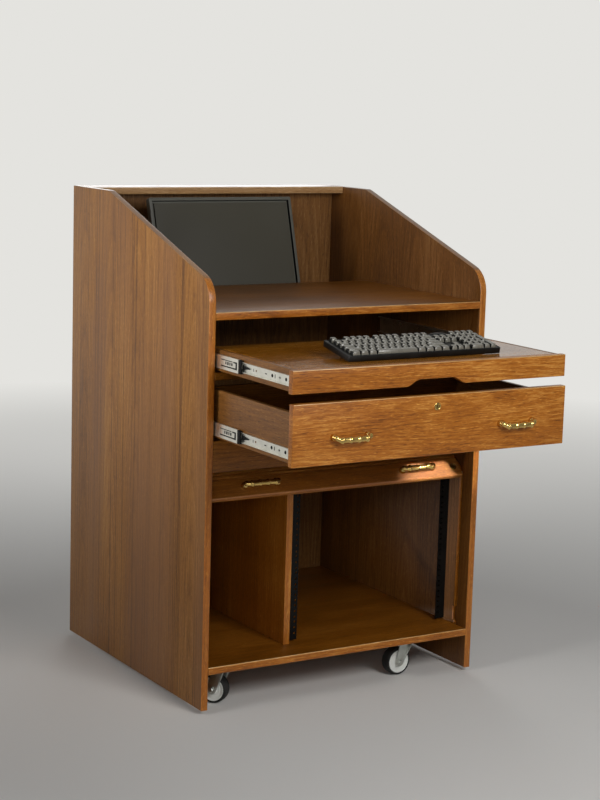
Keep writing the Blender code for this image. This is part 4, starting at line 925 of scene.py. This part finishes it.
def fork(crown):
    """A pressed fork in its swivel's frame: a deck, two legs with turned-out edges, and the axle bolt."""
    inside = WHEEL_WIDTH / 2 + 0.0015
    outside = inside + 0.0025
    long, wide, corner = 0.018, outside - 0.007, 0.007
    outline = [
        *bend((long, -wide), corner, -90, 0, 4), *bend((long, wide), corner, 0, 90, 4),
        *bend((-long, wide), corner, 90, 180, 4), *bend((-long, -wide), corner, 180, 270, 4),
    ]
    parts = [shift(plate(outline, 0.005, 0.0012), (0, 0, crown - 0.005))]
    seat = crown - 0.0022
    stand = Matrix(((1, 0, 0, 0), (0, 0, 1, 0), (0, 1, 0, 0), (0, 0, 0, 1)))
    foot = bend((CASTER_TRAIL, WHEEL_RADIUS), 0.0125, -153, 18, 14)
    for side in (-1, 1):
        leg = plate([*foot, (long, seat), (-long, seat)], 0.0025, 0.0006)
        parts.append(shift(leg, Matrix.Translation((0, inside if side > 0 else -outside, 0)) @ stand))
        root = side * (outside - 0.0012)
        low, top = Vector((foot[0][0], 0, foot[0][1])), Vector((-long, 0, seat))
        run = (top - low).length
        swell = [(0, 0), (run, 0), (run, 0.0100), (run - 0.004, 0.0104), (0.25 * run, 0.0030)]
        rib = plate(swell, 0.0022, 0.0005)
        along = (top - low).normalized()
        out = Vector((0, side, 0))
        inward = along.cross(out)
        turn = Matrix((along, out, inward)).transposed().to_4x4()
        lift = Vector((0, root, 0)) + (inward * -0.0022 if inward.x < 0 else Vector())
        parts.append(shift(rib, Matrix.Translation(low + lift) @ turn))
        bolt = lathe([(0, 0.0052), (0.0050, 0.0050), (0.0062, 0.0040), (0.0064, 0), (0, 0)], 6)
        washer = lathe([(0, 0.0012), (0.0084, 0.0012), (0.0088, 0.0006), (0.0088, 0), (0, 0)], 28)
        axle = gather(shift(bolt, (0, 0, 0.0010)), washer)
        face = Matrix.Translation((CASTER_TRAIL, side * outside, WHEEL_RADIUS))
        parts.append(shift(axle, face @ Matrix.Rotation(-side * math.pi / 2, 4, "X")))
    return gather(*parts)


def casters():
    """Each caster's tread, hub, fork and plate bolts, on the bodies that carry them."""
    for name in ("front_left", "front_right", "rear_left", "rear_right"):
        stem = Vector(joints[f"caster_swivel_{name}"]["pos_m"])
        axle = Vector(joints[f"caster_spin_{name}"]["pos_m"])
        heading = math.atan2(axle.y - stem.y, axle.x - stem.x)
        turn = Matrix.Rotation(heading, 4, "Z")
        spin = Matrix.Translation(axle) @ turn @ Matrix.Rotation(-math.pi / 2, 4, "X")
        wheel = f"caster_wheel_{name}"
        make(f"caster_tread_{name}", tyre(), [rubber], wheel, spin, [wheel])
        make(f"caster_hub_{name}", hub(), [hub_grey], wheel, spin)
        crown = span(f"caster_plate_{name}")[0].z - 0.0004
        place = Matrix.Translation((stem.x, stem.y, 0)) @ turn
        swivel = f"caster_swivel_{name}"
        make(f"caster_horn_{name}", fork(crown), [fork_zinc], swivel, place, [f"caster_fork_{name}"])
        low, high = span(f"caster_plate_{name}")
        bolts = []
        for x in (low.x + 0.008, high.x - 0.008):
            for y in (low.y + 0.008, high.y - 0.008):
                spot = Matrix.Translation((x, y, high.z - 0.003)) @ Matrix.Rotation(math.pi, 4, "X")
                bolts.append(shift(screw(0.0045, 0.0028), spot))
        make(f"caster_bolts_{name}", gather(*bolts), [fork_zinc, acetal], "cabinet")


casters()


def slat_row(count, place):
    """The face of a tambour in Y and Z: crowned slats, with place(distance) giving the height of a point."""
    half = SLAT_PITCH / 2
    crown = (
        (-half, SLAT_VALLEY), (-half + 0.0012, SLAT_VALLEY), (-0.6 * half, 0.0010), (0, 0),
        (0.6 * half, 0.0010), (half - 0.0012, SLAT_VALLEY),
    )
    points = []
    for k in range(count):
        middle = (k + 0.5) * SLAT_PITCH
        for along, out in crown:
            points.append((out, place(middle + along)))
    points.append((SLAT_VALLEY, place(count * SLAT_PITCH)))
    return points


def tambour(points, back, half):
    """A sheet of slats along X, from its face and the depth of its canvas."""
    outline = points + [(back, points[-1][1]), (back, points[0][1])]
    sheet = plate(outline, 2 * half)
    return shift(sheet, Matrix(((0, 0, 1, -half), (1, 0, 0, 0), (0, 1, 0, 0), (0, 0, 0, 1))))


def door_curtain():
    """The curtain that follows the lead bar down: two slats on the bar, and a pleat behind the apron whose
    rows are packed for the rest of the curtain."""
    half = span("door_lead_bar")[1].x - 0.0005
    drop = -joints["door_slide"]["range_m"][0]
    top = BAR_HEIGHT - ROD_RISE
    ends = slat_row(2, lambda distance: top + 0.0004 + distance)
    first = shift(tambour(ends, SLAT_THICK, half), (0, -SLAT_FACE, 0))
    make("door_first_slats", first, [oak_bar], "door_bar", BAR)

    # At rest the pleat is 16 mm tall. Its rows are spaced so that the slats are even when the door is shut.
    head = span("apron_rail")[0].z + 0.0125
    pleat = 0.016

    def folded(distance):
        """Where a point that hangs at a distance below the head, with the door shut, lies at rest."""
        near, far = 0.0, 1.0
        for _ in range(40):
            share = (near + far) / 2
            if pleat * share + drop * share * share * (3 - 2 * share) < distance:
                near = share
            else:
                far = share
        return head - pleat * near

    count = int((drop + pleat) / SLAT_PITCH)
    rows = slat_row(count, folded)
    rows.append((SLAT_VALLEY, head - pleat))
    sheet = shift(tambour(rows, SLAT_THICK, half), (0, rod.y - SLAT_FACE, 0))
    piece = make("door_slats", sheet, [oak_bar], "cabinet")
    piece.parent = None
    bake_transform(piece)


door_curtain()


def studio():
    """A pale floor that fades into a pale backdrop, soft panels of light, and the photograph's camera."""
    pale = linear("#e4e3df")
    bm = bmesh.new()
    bmesh.ops.create_grid(bm, x_segments=1, y_segments=1, size=40.0)
    mesh = bpy.data.meshes.new("floor")
    bm.to_mesh(mesh)
    bm.free()
    floor = bpy.data.objects.new("floor", mesh)
    scene.collection.objects.link(floor)

    def room(tree, way, path):
        """How pale the studio is one way: pale behind the object and to the camera, dim behind the camera."""
        ahead = add(tree, "SeparateXYZ", [way]).outputs["Y"]
        level = add(tree, "MapRange", [ahead, -0.4, 0.5, 0.30, 1.0])
        return add(tree, "Math", [level, path["Is Camera Ray"]], operation="MAXIMUM")

    paper = bpy.data.materials.new("studio_paper")
    paper.use_nodes = True
    mesh.materials.append(paper)
    tree = paper.node_tree
    shader = tree.nodes["Principled BSDF"]
    shader.inputs["Base Color"].default_value = linear("#e2e0dc")
    shader.inputs["Roughness"].default_value = 0.9
    spot = add(tree, "TexCoord").outputs["Object"]
    away = add(tree, "VectorMath", [spot], operation="LENGTH")
    far = add(tree, "MapRange", [away.outputs["Value"], 1.1, 5.0, 0.0, 1.0])
    path = add(tree, "LightPath").outputs
    seen = add(tree, "Math", [path["Is Camera Ray"], path["Is Glossy Ray"]], operation="MAXIMUM")
    share = add(tree, "Math", [far, seen], operation="MULTIPLY")
    way = add(tree, "VectorMath", [spot], operation="NORMALIZE")
    glow = add(tree, "Emission", [pale, room(tree, way, path)])
    mixed = add(tree, "MixShader", [share, shader, glow])
    tree.links.new(mixed.outputs[0], tree.nodes["Material Output"].inputs["Surface"])

    world = bpy.data.worlds.new("studio")
    world.use_nodes = True
    scene.world = world
    tree = world.node_tree
    path = add(tree, "LightPath").outputs
    seen = add(tree, "Math", [path["Is Camera Ray"], path["Is Glossy Ray"]], operation="MAXIMUM")
    seen = add(tree, "Math", [seen, path["Is Transmission Ray"]], operation="MAXIMUM")
    soft = add(tree, "Background", [linear("#eef1f5"), 0.12])
    back = add(tree, "Background", [pale, room(tree, add(tree, "TexCoord").outputs["Generated"], path)])
    mixed = add(tree, "MixShader", [seen, soft, back])
    tree.links.new(mixed.outputs[0], tree.nodes["World Output"].inputs["Surface"])

    # Each lamp's name, place, aim, width in metres, watts and spread in degrees. The key lights the fronts,
    # the side lamp the left panel, the front lamp the bays, the back lamp what the camera doesn't see, and
    # the kicker the right end of the door's lead bar.
    for name, spot, aim, size, power, spread in (
        ("key", (0.1, -2.6, 1.9), (0.0, -0.5, 0.75), 0.9, 36, 180),
        ("side", (-2.2, -0.3, 1.45), (-0.42, 0.15, 1.2), 0.9, 7.0, 76),
        ("front", (-2.2, -3.2, 1.3), (-0.1, -0.2, 0.6), 1.0, 12, 180),
        ("back", (1.3, 3.1, 1.7), (0.0, 0.6, 0.7), 1.2, 16, 180),
        ("kicker", (0.87, -1.04, 1.13), (0.29, -0.15, 0.57), 0.08, 0.25, 14),
    ):
        lamp = bpy.data.lights.new(name, "AREA")
        lamp.size = size
        lamp.energy = power
        lamp.spread = math.radians(spread)
        light = bpy.data.objects.new(name, lamp)
        light.location = spot
        light.rotation_euler = (Vector(aim) - Vector(spot)).to_track_quat("-Z", "Y").to_euler()
        scene.collection.objects.link(light)

    # The camera was fitted to the photograph: focal length in millimetres, angles in radians
    lens = bpy.data.cameras.new("camera")
    lens.sensor_fit = "VERTICAL"
    lens.sensor_height = 24.0
    lens.lens = 56.398
    camera = bpy.data.objects.new("camera", lens)
    yaw, pitch, roll = 0.552312, -0.166021, 0.029672
    ahead = Vector((math.sin(yaw), math.cos(yaw), 0))
    right = Vector((math.cos(yaw), -math.sin(yaw), 0))
    look = ahead * math.cos(pitch) + Vector((0, 0, math.sin(pitch)))
    up = right.cross(look)
    side = right * math.cos(roll) + up * math.sin(roll)
    top = up * math.cos(roll) - right * math.sin(roll)
    turn = Matrix((side, top, -look)).transposed()
    camera.matrix_world = Matrix.Translation((-2.6129, -4.18905, 1.5781)) @ turn.to_4x4()
    scene.collection.objects.link(camera)
    scene.camera = camera
    scene.view_settings.view_transform = "Standard"


studio()
